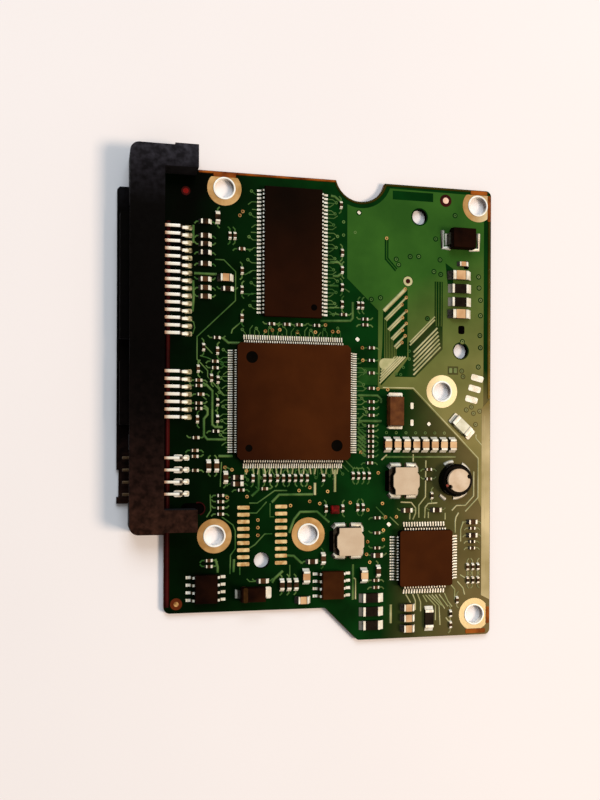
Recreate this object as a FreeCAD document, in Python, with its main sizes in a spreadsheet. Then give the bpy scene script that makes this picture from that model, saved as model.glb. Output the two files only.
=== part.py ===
"""Hard drive circuit board: a notched board with its drive connector, chips, coils and passives.

The datum is the middle screw hole, on the board's underside. +X runs from the connector to the
opposite edge, +Y along the connector and +Z up from the component side. Millimetres.
"""
import FreeCAD
import Part
import Sketcher
import math
import os

from FreeCAD import Vector

doc = FreeCAD.newDocument("drive_circuit_board")
sheet = doc.addObject("Spreadsheet::Sheet", "Sizes")

SIZES = {
    # Board outline, chained from the datum hole through the controller and memory to the edges
    "board_thickness": 1.0,
    "board_corner": 1.0,
    "right_margin": 9.4,
    "hole_to_controller": 16.3,
    "controller_below_hole": 2.35,
    "left_band": 11.0,
    "memory_gap": 3.5,
    "memory_margin": 2.1,
    "tail_drop": 5.85,
    "tail_width": 25.0,
    "notch_radius": 4.6,
    "notch_rise": 1.1,
    "notch_x": 12.0,
    # Screw holes and the plain locating holes
    "screw_radius": 1.65,
    "screw_from_top": 2.8,
    "left_screw_from_left": 9.95,
    "right_screw_from_right": 2.6,
    "pair_from_left": 8.45,
    "pair_from_lower": 12.85,
    "pair_spacing": 16.3,
    "tail_screw_from_right": 3.05,
    "tail_screw_from_tail": 3.7,
    "locating_radius": 1.4,
    "pair_locating_drop": 4.3,
    "top_locating_from_right": 13.75,
    "top_locating_from_top": 5.45,
    "side_locating_x": 3.6,
    "side_locating_y": 7.35,
    # Slot in the board for the rib under the connector's lower arm
    "slot_radius": 0.95,
    "slot_travel": 2.0,
    "slot_end": 0.6,
    "slot_set": 0.1,
    "rib_length": 1.4,
    "rib_width": 0.8,
    "rib_setback": 0.1,
    # Controller, a square flat pack with leads on four sides
    "controller_pitch": 0.4,
    "controller_leads": 44,
    "controller_corner": 1.4,
    "controller_height": 1.4,
    "controller_bevel": 0.6,
    "controller_lead_width": 0.18,
    "mark_radius": 1.0,
    "mark_depth": 0.08,
    "mark_inset": 2.55,
    "pin_mark_radius": 0.6,
    "pin_mark_inset": 2.05,
    # Memory chip, with leads on its two long sides
    "memory_pitch": 0.65,
    "memory_leads": 33,
    "memory_corner": 0.71,
    "memory_width": 10.16,
    "memory_height": 1.0,
    "memory_lead_width": 0.3,
    "memory_lead_reach": 0.8,
    "memory_shift": 0.2,
    # Motor driver, a smaller square flat pack
    "driver_pitch": 0.5,
    "driver_leads": 16,
    "driver_corner": 1.25,
    "driver_height": 1.4,
    "driver_bevel": 0.35,
    "driver_lead_width": 0.22,
    "driver_from_right": 12.75,
    "driver_from_tail": 14.2,
    # Two power switches, eight leads each
    "switch_pitch": 1.27,
    "switch_leads": 4,
    "switch_corner": 0.545,
    "switch_width": 3.9,
    "switch_height": 1.45,
    "switch_lead_width": 0.42,
    "switch_lead_reach": 1.05,
    "switch_from_left": 7.0,
    "far_switch_x": 6.95,
    "switch_gap": 2.05,
    "switch_margin": 1.6,
    # Leads and moulded bodies in common
    "lead_thickness": 0.15,
    "lead_reach": 1.0,
    "foot_share": 0.55,
    "standoff": 0.1,
    "mould_draft": 7.0,
    # Drive connector housing
    "connector_height": 5.4,
    "connector_gap": 0.3,
    "bar_depth": 5.6,
    "bar_corner": 1.5,
    "lower_reach": 22.05,
    "upper_overhang": 2.5,
    "arm_reach": 5.15,
    "arm_lip": 1.0,
    "arm_step": 0.3,
    "arm_step_reach": 1.3,
    "arm_clearance": 0.1,
    "lower_arm_reach": 18.05,
    "lower_arm_width": 3.7,
    "ledge_reach": 1.9,
    "ledge_bevel": 0.45,
    "ledge_recess": 0.35,
    "ledge_margin": 3.3,
    "floor_thickness": 0.9,
    "roof_thickness": 0.9,
    "back_wall": 1.6,
    "cavity_margin": 2.9,
    "jumper_margin": 1.3,
    # Tongues of the connector, and its contacts
    "tongue_thickness": 1.2,
    "tongue_underside": 2.3,
    "tongue_length": 5.5,
    "tongue_margin": 1.4,
    "key_width": 0.9,
    "key_drop": 1.1,
    "contact_pitch": 1.27,
    "contact_width": 0.72,
    "contact_thickness": 0.2,
    "contact_setback": 0.5,
    "contact_bend": 2.4,
    "contact_slope": 0.25,
    "contact_toe": 4.0,
    "power_contacts": 15,
    "power_first": 11.184,
    "signal_contacts": 7,
    "signal_first": -2.786,
    "jumper_pitch": 2.0,
    "jumper_pins": 4,
    "jumper_first": -15.589,
    "jumper_thickness": 0.5,
    "jumper_top": 2.7,
    # Coils
    "choke_length": 4.7,
    "choke_crown": 0.12,
    "choke_corner": 0.6,
    "choke_height": 1.9,
    "choke_foil": 0.15,
    "choke_foil_length": 6.1,
    "choke_foil_width": 2.35,
    "choke_foil_gap": 0.5,
    "upper_choke_x": 9.0,
    "upper_choke_drop": 2.6,
    "lower_choke_x": 9.85,
    "lower_choke_gap": 10.0,
    "drum_radius": 2.9,
    "drum_height": 2.1,
    "drum_bevel": 0.3,
    "drum_flange": 0.6,
    "drum_flange_radius": 2.05,
    "drum_from_right": 7.1,
    "drum_drop": 2.5,
    # Diodes
    "clamp_length": 4.5,
    "clamp_width": 3.7,
    "clamp_height": 2.2,
    "clamp_tab_width": 2.1,
    "clamp_from_right": 6.0,
    "clamp_from_top": 9.2,
    "clamp_column": 19.1,
    "rectifier_length": 4.3,
    "rectifier_width": 2.6,
    "rectifier_height": 2.1,
    "rectifier_tab_width": 1.5,
    "rectifier_x": 7.1,
    "rectifier_from_lower": 2.95,
    "diode_reach": 0.75,
    # Tantalum capacitor, fuse and shock sensor
    "tantalum_length": 5.2,
    "tantalum_width": 2.8,
    "tantalum_height": 1.9,
    "tantalum_tab_width": 2.4,
    "tantalum_reach": 0.4,
    "tantalum_from_controller": 7.2,
    "tantalum_drop": 3.7,
    "fuse_length": 3.8,
    "fuse_width": 1.9,
    "fuse_height": 0.9,
    "fuse_cap": 0.8,
    "fuse_cap_lip": 0.03,
    "fuse_angle": -42.0,
    "fuse_from_right": 5.7,
    "fuse_drop": 6.15,
    "sensor_length": 1.5,
    "sensor_height": 0.9,
    "sensor_x": 7.4,
    "sensor_drop": 7.55,
    # Chip passives by size: length, width and height
    "tiny_length": 1.0,
    "tiny_width": 0.5,
    "tiny_height": 0.4,
    "small_length": 1.6,
    "small_width": 0.8,
    "small_height": 0.6,
    "medium_length": 2.0,
    "medium_width": 1.25,
    "medium_height": 1.1,
    "large_length": 3.2,
    "large_width": 1.6,
    "large_height": 1.1,
    "flat_length": 3.2,
    "flat_width": 1.6,
    "flat_height": 0.6,
}

# Chip passives in rows, by the node that they belong to. Each group names the two lines its places
# are measured from. Each row is name, size, which way the chips lie, place of the first chip, and
# then way, step and count where there are more.
CHIPS = {
    "connector_chips": [
        ("left_edge", "power_y", [
            ("supply_filter_top", "small", "x", 6.7, 10.08),
            ("supply_filter", "small", "x", 6.7, 4.88, "y", 1.4, 3),
            ("supply_filter_middle", "small", "x", 6.7, 2.99),
            ("supply_filter_low", "small", "x", 6.7, -2.51, "y", 1.45, 3),
            ("supply_bead", "small", "y", 8.8, 10.93),
            ("supply_damper", "small", "x", 10.5, -1.07),
        ]),
        ("left_edge", "centre_y", [
            ("link_capacitor_out", "tiny", "x", 5.65, 2.55, "y", 0.9, 2),
            ("link_capacitor_in", "tiny", "x", 5.65, -1.3, "y", 0.9, 2),
            ("link_pull_high", "tiny", "y", 5.6, 5.4),
            ("link_pull_middle", "tiny", "x", 6.0, 1.1),
            ("link_pull_low", "tiny", "y", 5.5, -3.1),
            ("jumper_pull_high", "tiny", "x", 5.2, -6.2),
            ("jumper_pull", "tiny", "x", 5.05, -9.35, "y", 1.0, 2),
            ("jumper_pull_low", "tiny", "x", 5.1, -11.7),
            ("jumper_filter", "small", "y", 7.4, -10.95, "x", 1.35, 2),
        ]),
    ],
    "controller_chips": [
        ("west", "centre_y", [
            ("west_load", "tiny", "y", -4.5, 9.05),
            ("west_corner", "tiny", "x", -2.3, 10.7),
            ("west_bypass_top", "tiny", "y", -2.15, 8.5),
            ("west_bypass_high", "tiny", "x", -2.6, 5.6, "y", 1.1, 2),
            ("west_pair", "tiny", "y", -3.15, 3.9),
            ("west_pair_inner", "tiny", "y", -2.05, 3.6),
            ("west_bypass", "tiny", "y", -2.1, -3.0, "y", 2.8, 2),
            ("west_bypass_low", "tiny", "x", -2.45, -5.1),
        ]),
    ],
    "bus_chips": [
        ("east", "centre_y", [
            ("east_termination", "tiny", "x", 3.0, 5.35, "y", 2.2, 3),
            ("east_reference", "tiny", "x", 3.0, 2.65),
            ("east_bypass", "tiny", "x", 3.0, -2.1, "y", 1.2, 3),
        ]),
        ("east", "south", [
            ("east_bus", "tiny", "x", 2.9, 1.7, "y", 0.885, 7),
            ("east_corner", "tiny", "x", 2.75, 0.55),
        ]),
    ],
    "memory_chips": [
        ("centre_x", "north", [
            ("memory_gap_west", "tiny", "x", -3.9, 2.35),
            ("memory_gap_row", "tiny", "x", -1.2, 2.35, "x", 2.15, 2),
            ("memory_gap_east", "tiny", "x", 4.05, 2.35),
            ("memory_east_low", "tiny", "x", 8.9, 4.4),
            ("memory_termination", "tiny", "y", 11.6, 6.15, "x", 0.75, 2),
            ("memory_clock", "tiny", "x", 12.8, 2.75, "y", 1.0, 2),
        ]),
        ("centre_x", "memory_y", [
            ("memory_east_row", "tiny", "y", 8.65, -8.41, "y", 3.0, 4),
            ("memory_east_top", "tiny", "y", 8.4, 8.89),
            ("memory_west_row", "tiny", "y", -9.0, -6.61, "y", 3.2, 2),
            ("memory_west_low", "tiny", "y", -9.0, -11.41),
            ("memory_west_high", "tiny", "x", -9.1, 0.29),
            ("memory_west_pair", "tiny", "y", -11.1, 2.44, "x", 0.85, 2),
        ]),
    ],
    "preamp_chips": [
        ("centre_x", "south", [
            ("south_row", "tiny", "y", -2.75, -2.05, "x", 1.05, 6),
            ("south_pair", "tiny", "y", -5.0, -2.05, "x", 1.0, 2),
            ("south_end", "tiny", "y", -7.0, -2.05),
            ("south_east", "tiny", "y", 5.4, -2.05),
            ("south_cross", "tiny", "x", -5.05, -3.85),
            ("south_bus", "tiny", "y", 10.75, -1.7, "x", 0.98, 4),
        ]),
        ("west", "south", [
            ("south_filter", "small", "y", -0.7, -1.9),
            ("south_feed", "small", "x", 1.3, -3.0, "y", 1.1, 2),
            ("south_feed_low", "tiny", "x", 1.9, -4.05),
            ("south_stack", "tiny", "x", -1.6, -8.1, "y", 1.05, 4),
        ]),
        ("sensor_x", "sensor_y", [
            ("sensor_load", "tiny", "y", -1.5, 0.15, "x", 3.0, 2),
            ("sensor_bias", "tiny", "y", 4.2, 0.3, "x", 1.0, 2),
        ]),
    ],
    "switch_chips": [
        ("left_edge", "lower_edge", [
            ("switch_gate", "tiny", "x", 7.5, 7.75, "y", 1.0, 2),
        ]),
        ("centre_x", "lower_edge", [
            ("switch_sense", "small", "x", -5.25, 5.05),
            ("switch_output", "small", "y", -1.9, 4.25, "x", 1.24, 3),
            ("regulator_feed", "small", "x", 3.4, 8.15),
            ("regulator_tap", "small", "y", 5.4, 8.6),
        ]),
    ],
    "driver_chips": [
        ("driver_x", "driver_y", [
            ("driver_charge", "small", "y", -8.55, -2.2),
            ("driver_tank", "small", "x", -8.75, 0.6),
            ("driver_compensation", "tiny", "x", -8.8, 1.9, "y", 2.65, 3),
            ("driver_divider", "tiny", "x", -8.95, -5.05, "y", 1.25, 2),
            ("driver_snubber", "small", "x", -3.2, 8.45, "x", 5.5, 2),
            ("coil_sense", "tiny", "x", 0.85, 14.0, "y", 1.7, 2),
            ("coil_damper", "tiny", "y", 1.45, 11.0),
        ]),
        ("right_edge", "driver_y", [
            ("motor_phase", "small", "x", -3.5, 3.8, "y", 2.4, 2),
            ("motor_phase_inner", "tiny", "x", -3.55, 1.5, "y", 1.15, 2),
            ("motor_phase_middle", "tiny", "x", -3.5, 5.05),
            ("motor_tap", "tiny", "y", -4.4, -1.9, "x", 1.0, 3),
            ("motor_tap_low", "tiny", "y", -4.4, -4.3, "x", 1.0, 3),
        ]),
        ("right_edge", "tail_edge", [
            ("driver_clock", "tiny", "y", -6.4, 6.4),
            ("driver_timing", "tiny", "y", -7.65, 2.0, "y", 2.0, 2),
        ]),
    ],
    "filter_capacitors": [
        ("east", "centre_y", [
            ("supply_filter_row", "medium", "y", 5.98, -7.2, "x", 1.742, 8),
        ]),
        ("left_edge", "power_y", [
            ("supply_reservoir", "medium", "x", 10.15, 0.73),
        ]),
        ("centre_x", "lower_edge", [
            ("switch_reservoir", "medium", "y", 2.3, 5.6),
            ("switch_smoothing", "medium", "x", 1.75, 1.6),
        ]),
        ("driver_x", "driver_y", [
            ("driver_reservoir", "medium", "y", -11.25, -2.85),
        ]),
        ("driver_x", "tail_edge", [
            ("driver_smoothing", "medium", "x", -3.05, 1.75, "y", 1.85, 3),
        ]),
        ("right_edge", "column_y", [
            ("clamp_smoothing_low", "large", "x", -6.2, -3.45),
            ("clamp_smoothing_high", "large", "x", -6.2, 3.5),
            ("clamp_bead", "small", "x", -5.5, 5.6),
        ]),
    ],
    "sense_resistors": [
        ("right_edge", "column_y", [
            ("clamp_resistor", "flat", "x", -6.1, -1.25, "y", 2.4, 2),
        ]),
        ("driver_x", "tail_edge", [
            ("motor_sense", "flat", "x", -9.8, 2.55, "y", 2.4, 3),
            ("driver_sense", "flat", "y", 0.95, 3.3),
        ]),
    ],
}


def row_cells(row):
    """Sizes that place one row of chips: its first place, and the step and count of more."""
    places = [item for item in row[3:] if not isinstance(item, str)]
    return {row[0] + key: place for key, place in zip(("_x", "_y", "_step", "_count"), places)}


for groups in CHIPS.values():
    for _, _, rows in groups:
        for row in rows:
            SIZES.update(row_cells(row))
for line, (alias, number) in enumerate(SIZES.items(), start=1):
    sheet.set(f"A{line}", alias)
    sheet.set(f"B{line}", str(number))
    sheet.setAlias(f"B{line}", alias)
doc.recompute()


def size(name):
    """Expression for one named size."""
    return "Sizes." + name


def value(expression):
    """Present value of an expression in the named sizes, in millimetres or degrees."""
    return float(sheet.evalExpression(expression))


def packed_length(chip):
    """Length of a chip's side that carries a row of leads."""
    return f"(Sizes.{chip}_pitch * (Sizes.{chip}_leads - 1) + 2 * Sizes.{chip}_corner)"


# Reference lines of the layout, chained outwards from the datum hole
controller_span = f"({packed_length('controller')} + 2 * Sizes.lead_reach)"
switch_column = f"(Sizes.choke_foil_length + Sizes.switch_gap + {packed_length('switch')})"
power_span = "(Sizes.contact_pitch * (Sizes.power_contacts - 1))"
board_face = size("board_thickness")
LINES = {}
LINES["east"] = "(-Sizes.hole_to_controller)"
LINES["west"] = f"({LINES['east']} - {controller_span})"
LINES["centre_x"] = f"({LINES['east']} - {controller_span} / 2)"
LINES["centre_y"] = "(-Sizes.controller_below_hole)"
LINES["north"] = f"({LINES['centre_y']} + {controller_span} / 2)"
LINES["south"] = f"({LINES['centre_y']} - {controller_span} / 2)"
LINES["left_edge"] = f"({LINES['west']} - Sizes.left_band)"
LINES["right_edge"] = size("right_margin")
LINES["memory_y"] = f"({LINES['north']} + Sizes.memory_gap + {packed_length('memory')} / 2)"
LINES["top_edge"] = f"({LINES['memory_y']} + {packed_length('memory')} / 2 + Sizes.memory_margin)"
LINES["choke_end"] = f"({LINES['south']} - Sizes.lower_choke_gap)"
LINES["lower_edge"] = f"({LINES['choke_end']} - {switch_column} - Sizes.switch_margin)"
LINES["tail_edge"] = f"({LINES['lower_edge']} - Sizes.tail_drop)"
LINES["power_y"] = f"({LINES['centre_y']} + Sizes.power_first + {power_span} / 2)"
LINES["driver_x"] = f"({LINES['right_edge']} - Sizes.driver_from_right)"
LINES["driver_y"] = f"({LINES['tail_edge']} + Sizes.driver_from_tail)"
LINES["sensor_x"] = f"({LINES['centre_x']} + Sizes.sensor_x)"
LINES["sensor_y"] = f"({LINES['south']} - Sizes.sensor_drop)"
LINES["column_y"] = f"({LINES['top_edge']} - Sizes.clamp_column)"


def after(line, name):
    """Expression for a place at a named distance past one of the reference lines."""
    return f"({LINES[line]} + Sizes.{name})"


def before(line, name):
    """Expression for a place at a named distance short of one of the reference lines."""
    return f"({LINES[line]} - Sizes.{name})"


# How near two places count as the same, in millimetres
MATCH = 1e-4


def origin_feature(body, role):
    """One of a body's own origin planes or axes."""
    return next(item for item in body.Origin.OriginFeatures if item.Role == role)


def new_body(label, x="0", y="0", z="0", angle="0"):
    """Body at a place given by expressions, turned about its upright axis."""
    body = doc.addObject("PartDesign::Body", label)
    body.setExpression("Placement.Base.x", x)
    body.setExpression("Placement.Base.y", y)
    body.setExpression("Placement.Base.z", z)
    body.setExpression("Placement.Rotation.Angle", angle)
    return body


def new_sketch(body, name, plane, lift="0"):
    """Empty sketch on one of the body's origin planes, lifted along that plane's normal."""
    sketch = body.newObject("Sketcher::SketchObject", name)
    sketch.AttachmentSupport = [(origin_feature(body, plane), "")]
    sketch.MapMode = "FlatFace"
    sketch.setExpression("AttachmentOffset.Base.z", lift)
    return sketch


def hold(sketch, kind, references, expression):
    """Constraint whose value is an expression in the named sizes."""
    rule = sketch.addConstraint(Sketcher.Constraint(kind, *references, value(expression)))
    sketch.setExpression(f"Constraints[{rule}]", expression)


def hold_point(sketch, geometry, point, x, y):
    """Fix a point of a sketch by two expressions, measured from the sketch's origin."""
    hold(sketch, "DistanceX", (-1, 1, geometry, point), x)
    hold(sketch, "DistanceY", (-1, 1, geometry, point), y)


def add_line(sketch, start, end):
    """Straight line between two places that are pairs of expressions."""
    ends = [Vector(value(x), value(y), 0) for x, y in (start, end)]
    return sketch.addGeometry(Part.LineSegment(*ends))


def add_loop(sketch, corners):
    """Closed outline of straight lines through corners that are pairs of expressions."""
    following = corners[1:] + corners[:1]
    lines = [add_line(sketch, start, end) for start, end in zip(corners, following)]
    for line, next_line in zip(lines, lines[1:] + lines[:1]):
        sketch.addConstraint(Sketcher.Constraint("Coincident", line, 2, next_line, 1))
    for line, (x, y) in zip(lines, corners):
        hold_point(sketch, line, 1, x, y)


def add_box(sketch, x, y, far_x, far_y):
    """Rectangle between two corners."""
    add_loop(sketch, [(x, y), (far_x, y), (far_x, far_y), (x, far_y)])


def add_circle(sketch, x, y, radius):
    """Circle at a place given by expressions."""
    circle = Part.Circle(Vector(value(x), value(y), 0), Vector(0, 0, 1), value(radius))
    geometry = sketch.addGeometry(circle)
    hold_point(sketch, geometry, 3, x, y)
    hold(sketch, "Radius", (geometry,), radius)


def add_arc(sketch, x, y, radius, start, end):
    """Arc about a place given by expressions, between two angles in degrees."""
    circle = Part.Circle(Vector(value(x), value(y), 0), Vector(0, 0, 1), value(radius))
    turn = Part.ArcOfCircle(circle, math.radians(start), math.radians(end))
    return sketch.addGeometry(turn)


def add_slot(sketch, x, far_x, y, radius):
    """Round-ended slot along X between two end centres."""
    low, high = f"({y} - {radius})", f"({y} + {radius})"
    near = add_arc(sketch, x, y, radius, 90, 270)
    bottom = add_line(sketch, (x, low), (far_x, low))
    far = add_arc(sketch, far_x, y, radius, -90, 90)
    top = add_line(sketch, (far_x, high), (x, high))
    for first, second in ((near, bottom), (bottom, far), (far, top), (top, near)):
        sketch.addConstraint(Sketcher.Constraint("Tangent", first, 2, second, 1))
    hold_point(sketch, near, 3, x, y)
    hold_point(sketch, far, 3, far_x, y)
    for end in (near, far):
        hold(sketch, "Radius", (end,), radius)


def add_crowned_square(sketch, half, crown, corner):
    """Square whose four sides bow outwards between bevelled corners."""
    inner = f"({half} - {corner})"
    bevels = [((half, inner), (inner, half)), ((f"-{inner}", half), (f"-{half}", inner)),
              ((f"-{half}", f"-{inner}"), (f"-{inner}", f"-{half}")),
              ((inner, f"-{half}"), (half, f"-{inner}"))]
    radius = f"(({inner} * {inner} + {crown} * {crown}) / (2 * {crown}))"
    spread = math.degrees(math.asin(value(inner) / value(radius)))
    depth = f"({half} + {crown} - {radius})"
    centres = [("0", depth), (f"-{depth}", "0"), ("0", f"-{depth}"), (depth, "0")]
    lines = [add_line(sketch, start, end) for start, end in bevels]
    for line, (start, end) in zip(lines, bevels):
        hold_point(sketch, line, 1, *start)
        hold_point(sketch, line, 2, *end)
    for turn, (x, y) in enumerate(centres):
        facing = 90 + 90 * turn
        arc = add_arc(sketch, x, y, radius, facing - spread, facing + spread)
        next_line = lines[(turn + 1) % len(lines)]
        sketch.addConstraint(Sketcher.Constraint("Coincident", lines[turn], 2, arc, 1))
        sketch.addConstraint(Sketcher.Constraint("Coincident", arc, 2, next_line, 1))
        hold(sketch, "Radius", (arc,), radius)


def add_pad(body, sketch, length, reversed_way=False, midplane=False, draft=None):
    """Raise a sketch along its normal, against it or both ways, with drafted sides if asked."""
    pad = body.newObject("PartDesign::Pad", sketch.Name + "_pad")
    pad.Profile = sketch
    pad.setExpression("Length", length)
    pad.Reversed = reversed_way
    pad.Midplane = midplane
    if draft:
        pad.setExpression("TaperAngle", f"-{draft}")
    doc.recompute()
    return pad


def add_pocket(body, sketch, length=None, reversed_way=False):
    """Cut a sketch to a depth against its normal, or right through when no depth is given."""
    volume = body.Shape.Volume
    pocket = body.newObject("PartDesign::Pocket", sketch.Name + "_pocket")
    pocket.Profile = sketch
    pocket.Reversed = reversed_way
    if length is None:
        pocket.Type = "ThroughAll"
        pocket.Midplane = True
    else:
        pocket.setExpression("Length", length)
    doc.recompute()
    if body.Shape.Volume >= volume:
        raise RuntimeError(f"{pocket.Name} cuts nothing")
    return pocket


def round_upright_edges(body, feature, corners, radius):
    """Fillet the upright edges that stand at the given corners."""
    spots = [(value(x), value(y)) for x, y in corners]
    names = []
    for index, edge in enumerate(feature.Shape.Edges, start=1):
        start, end = edge.Vertexes[0].Point, edge.Vertexes[-1].Point
        upright = math.hypot(start.x - end.x, start.y - end.y) < MATCH
        if upright and any(math.hypot(start.x - x, start.y - y) < MATCH for x, y in spots):
            names.append(f"Edge{index}")
    fillet = body.newObject("PartDesign::Fillet", feature.Name + "_rounding")
    fillet.Base = (feature, names)
    fillet.setExpression("Radius", radius)
    doc.recompute()


def repeat(body, features, rows, turns=1):
    """Copy features in a row, about the body's upright axis, and then in further rows."""
    steps = []
    pattern = body.newObject("PartDesign::MultiTransform", features[0].Name + "_copies")
    pattern.Originals = features
    for axis, step, count in rows:
        row = body.newObject("PartDesign::LinearPattern", f"{features[0].Name}_along_{axis}")
        row.Direction = (origin_feature(body, axis + "_Axis"), [""])
        row.setExpression("Length", f"{step} * ({count} - 1)")
        row.setExpression("Occurrences", count)
        steps.append(row)
    if turns > 1:
        sides = body.newObject("PartDesign::PolarPattern", features[0].Name + "_sides")
        sides.Axis = (origin_feature(body, "Z_Axis"), [""])
        sides.Angle = 360
        sides.Occurrences = turns
        steps.insert(1, sides)
    pattern.Transformations = steps
    body.Tip = pattern
    doc.recompute()


def make_block(name, place, lengths, base, height):
    """Plain block centred on a place, from a base height upwards."""
    box = doc.addObject("Part::Box", name)
    for side, length in zip(("Length", "Width", "Height"), (*lengths, height)):
        box.setExpression(side, length)
    for axis, middle, length in zip("xy", place, lengths):
        box.setExpression("Placement.Base." + axis, f"{middle} - {length} / 2")
    box.setExpression("Placement.Base.z", base)
    return box


def make_group(label, pieces):
    """Like pieces kept as separate solids under one name."""
    cluster = doc.addObject("Part::Compound", label)
    cluster.Links = pieces
    return cluster


# Holes of the board, which the connector and the record share
def screw_places():
    """Axes of the six screw holes, the datum hole first."""
    top_row = before("top_edge", "screw_from_top")
    pair_x = after("left_edge", "pair_from_left")
    pair_y = after("lower_edge", "pair_from_lower")
    tail_x = before("right_edge", "tail_screw_from_right")
    return [
        ("0", "0"),
        (after("left_edge", "left_screw_from_left"), top_row),
        (before("right_edge", "right_screw_from_right"), top_row),
        (pair_x, pair_y),
        (f"({pair_x} + Sizes.pair_spacing)", pair_y),
        (tail_x, after("tail_edge", "tail_screw_from_tail")),
    ]


def locating_places():
    """Axes of the three plain holes that fit pins of the drive's casting."""
    pair_x = f"({LINES['left_edge']} + Sizes.pair_from_left + Sizes.pair_spacing / 2)"
    pair_y = f"({LINES['lower_edge']} + Sizes.pair_from_lower - Sizes.pair_locating_drop)"
    top_x = before("right_edge", "top_locating_from_right")
    return [
        (pair_x, pair_y),
        (top_x, before("top_edge", "top_locating_from_top")),
        (size("side_locating_x"), size("side_locating_y")),
    ]


arm_tip = after("left_edge", "arm_reach")
arm_inner = before("centre_y", "lower_arm_reach")


# The board: glass-epoxy sheet with a stepped tail, a round notch and its drilled holes
def make_board():
    right, left = LINES["right_edge"], LINES["left_edge"]
    top, lower, tail = LINES["top_edge"], LINES["lower_edge"], LINES["tail_edge"]
    step_foot = before("right_edge", "tail_width")
    corners = [(left, lower), (f"({step_foot} - Sizes.tail_drop)", lower), (step_foot, tail),
               (right, tail), (right, top), (left, top)]
    body = new_body("circuit_board")
    outline = new_sketch(body, "board_outline", "XY_Plane")
    add_loop(outline, corners)
    laminate = add_pad(body, outline, board_face)
    round_upright_edges(body, laminate, corners, size("board_corner"))

    holes = new_sketch(body, "board_holes", "XY_Plane")
    for x, y in screw_places():
        add_circle(holes, x, y, size("screw_radius"))
    for x, y in locating_places():
        add_circle(holes, x, y, size("locating_radius"))
    notch_y = after("top_edge", "notch_rise")
    add_circle(holes, after("centre_x", "notch_x"), notch_y, size("notch_radius"))
    slot_x = f"({arm_tip} + Sizes.slot_end)"
    add_slot(holes, f"({slot_x} - Sizes.slot_travel)", slot_x,
             f"({arm_inner} - Sizes.slot_set)", size("slot_radius"))
    add_pocket(body, holes)
    return body


# The connector housing: a bar along the board's edge with two arms, and tongues in its cavity
housing_rear = before("left_edge", "connector_gap")
housing_front = f"({housing_rear} - Sizes.bar_depth)"
cavity_back = f"({housing_rear} - Sizes.back_wall)"
power_end = f"(Sizes.power_first + {power_span})"
signal_end = "(Sizes.signal_first + Sizes.contact_pitch * (Sizes.signal_contacts - 1))"
jumper_end = "(Sizes.jumper_first + Sizes.jumper_pitch * (Sizes.jumper_pins - 1))"
contact_underside = "(Sizes.tongue_underside - Sizes.contact_thickness)"
jumper_underside = "(Sizes.jumper_top - Sizes.jumper_thickness)"


def along(offset):
    """Place along the connector, measured from the controller's centre line."""
    return f"({LINES['centre_y']} + ({offset}))"


def make_connector_housing():
    body = new_body("connector_housing")
    top_edge = LINES["top_edge"]
    low_end = before("centre_y", "lower_reach")
    high_end = after("top_edge", "upper_overhang")
    high_step = f"({high_end} + Sizes.arm_step)"
    arm_outer = f"({arm_inner} - Sizes.lower_arm_width)"
    lip = before("top_edge", "arm_lip")
    step_x = after("left_edge", "arm_step_reach")
    outer_corners = [(housing_front, low_end), (housing_front, high_end)]

    plan = new_sketch(body, "housing_plan", "XY_Plane")
    add_loop(plan, [
        (housing_front, low_end), (housing_rear, low_end),
        (housing_rear, arm_outer), (arm_tip, arm_outer), (arm_tip, arm_inner),
        (housing_rear, arm_inner), (housing_rear, lip), (arm_tip, lip),
        (arm_tip, high_step), (step_x, high_step), (step_x, high_end),
        (housing_front, high_end),
    ])
    bar = add_pad(body, plan, size("connector_height"))
    round_upright_edges(body, bar, outer_corners, size("bar_corner"))

    board_room = new_sketch(body, "board_room", "XY_Plane")
    add_box(board_room, housing_rear, low_end, arm_tip, f"({top_edge} + Sizes.arm_clearance)")
    add_pocket(body, board_room, board_face, reversed_way=True)
    rib = new_sketch(body, "slot_rib", "XY_Plane", board_face)
    rib_tip = f"({arm_tip} - Sizes.rib_setback)"
    add_box(rib, f"({rib_tip} - Sizes.rib_length)", f"({arm_inner} - Sizes.rib_width)",
            rib_tip, arm_inner)
    add_pad(body, rib, f"({board_face} - Sizes.rib_setback)", reversed_way=True)

    add_ledge(body)
    add_cavities(body)
    for name, first, last, key_side in (("power", size("power_first"), power_end, 1),
                                        ("signal", signal_end, size("signal_first"), -1)):
        add_tongue(body, name, first, last, key_side)
    return body


def add_ledge(body):
    """Floor of the mating cavity, which runs out past the roof."""
    ledge_front = f"({housing_front} - Sizes.ledge_reach)"
    recessed = f"({ledge_front} + Sizes.ledge_recess)"
    low = along("Sizes.jumper_first - Sizes.jumper_margin - Sizes.connector_gap")
    high = along(f"{power_end} + Sizes.cavity_margin + Sizes.ledge_margin")
    recess_low = along("Sizes.jumper_first - Sizes.jumper_thickness")
    recess_high = along("Sizes.jumper_first + 2 * Sizes.jumper_pitch")
    ledge = new_sketch(body, "cavity_floor", "XY_Plane")
    add_loop(ledge, [
        (housing_front, low), (housing_front, high),
        (f"({ledge_front} + Sizes.ledge_bevel)", high),
        (ledge_front, f"({high} - Sizes.ledge_bevel)"),
        (ledge_front, recess_high), (recessed, recess_high),
        (recessed, recess_low), (ledge_front, recess_low), (ledge_front, low),
    ])
    add_pad(body, ledge, size("floor_thickness"))


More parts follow.
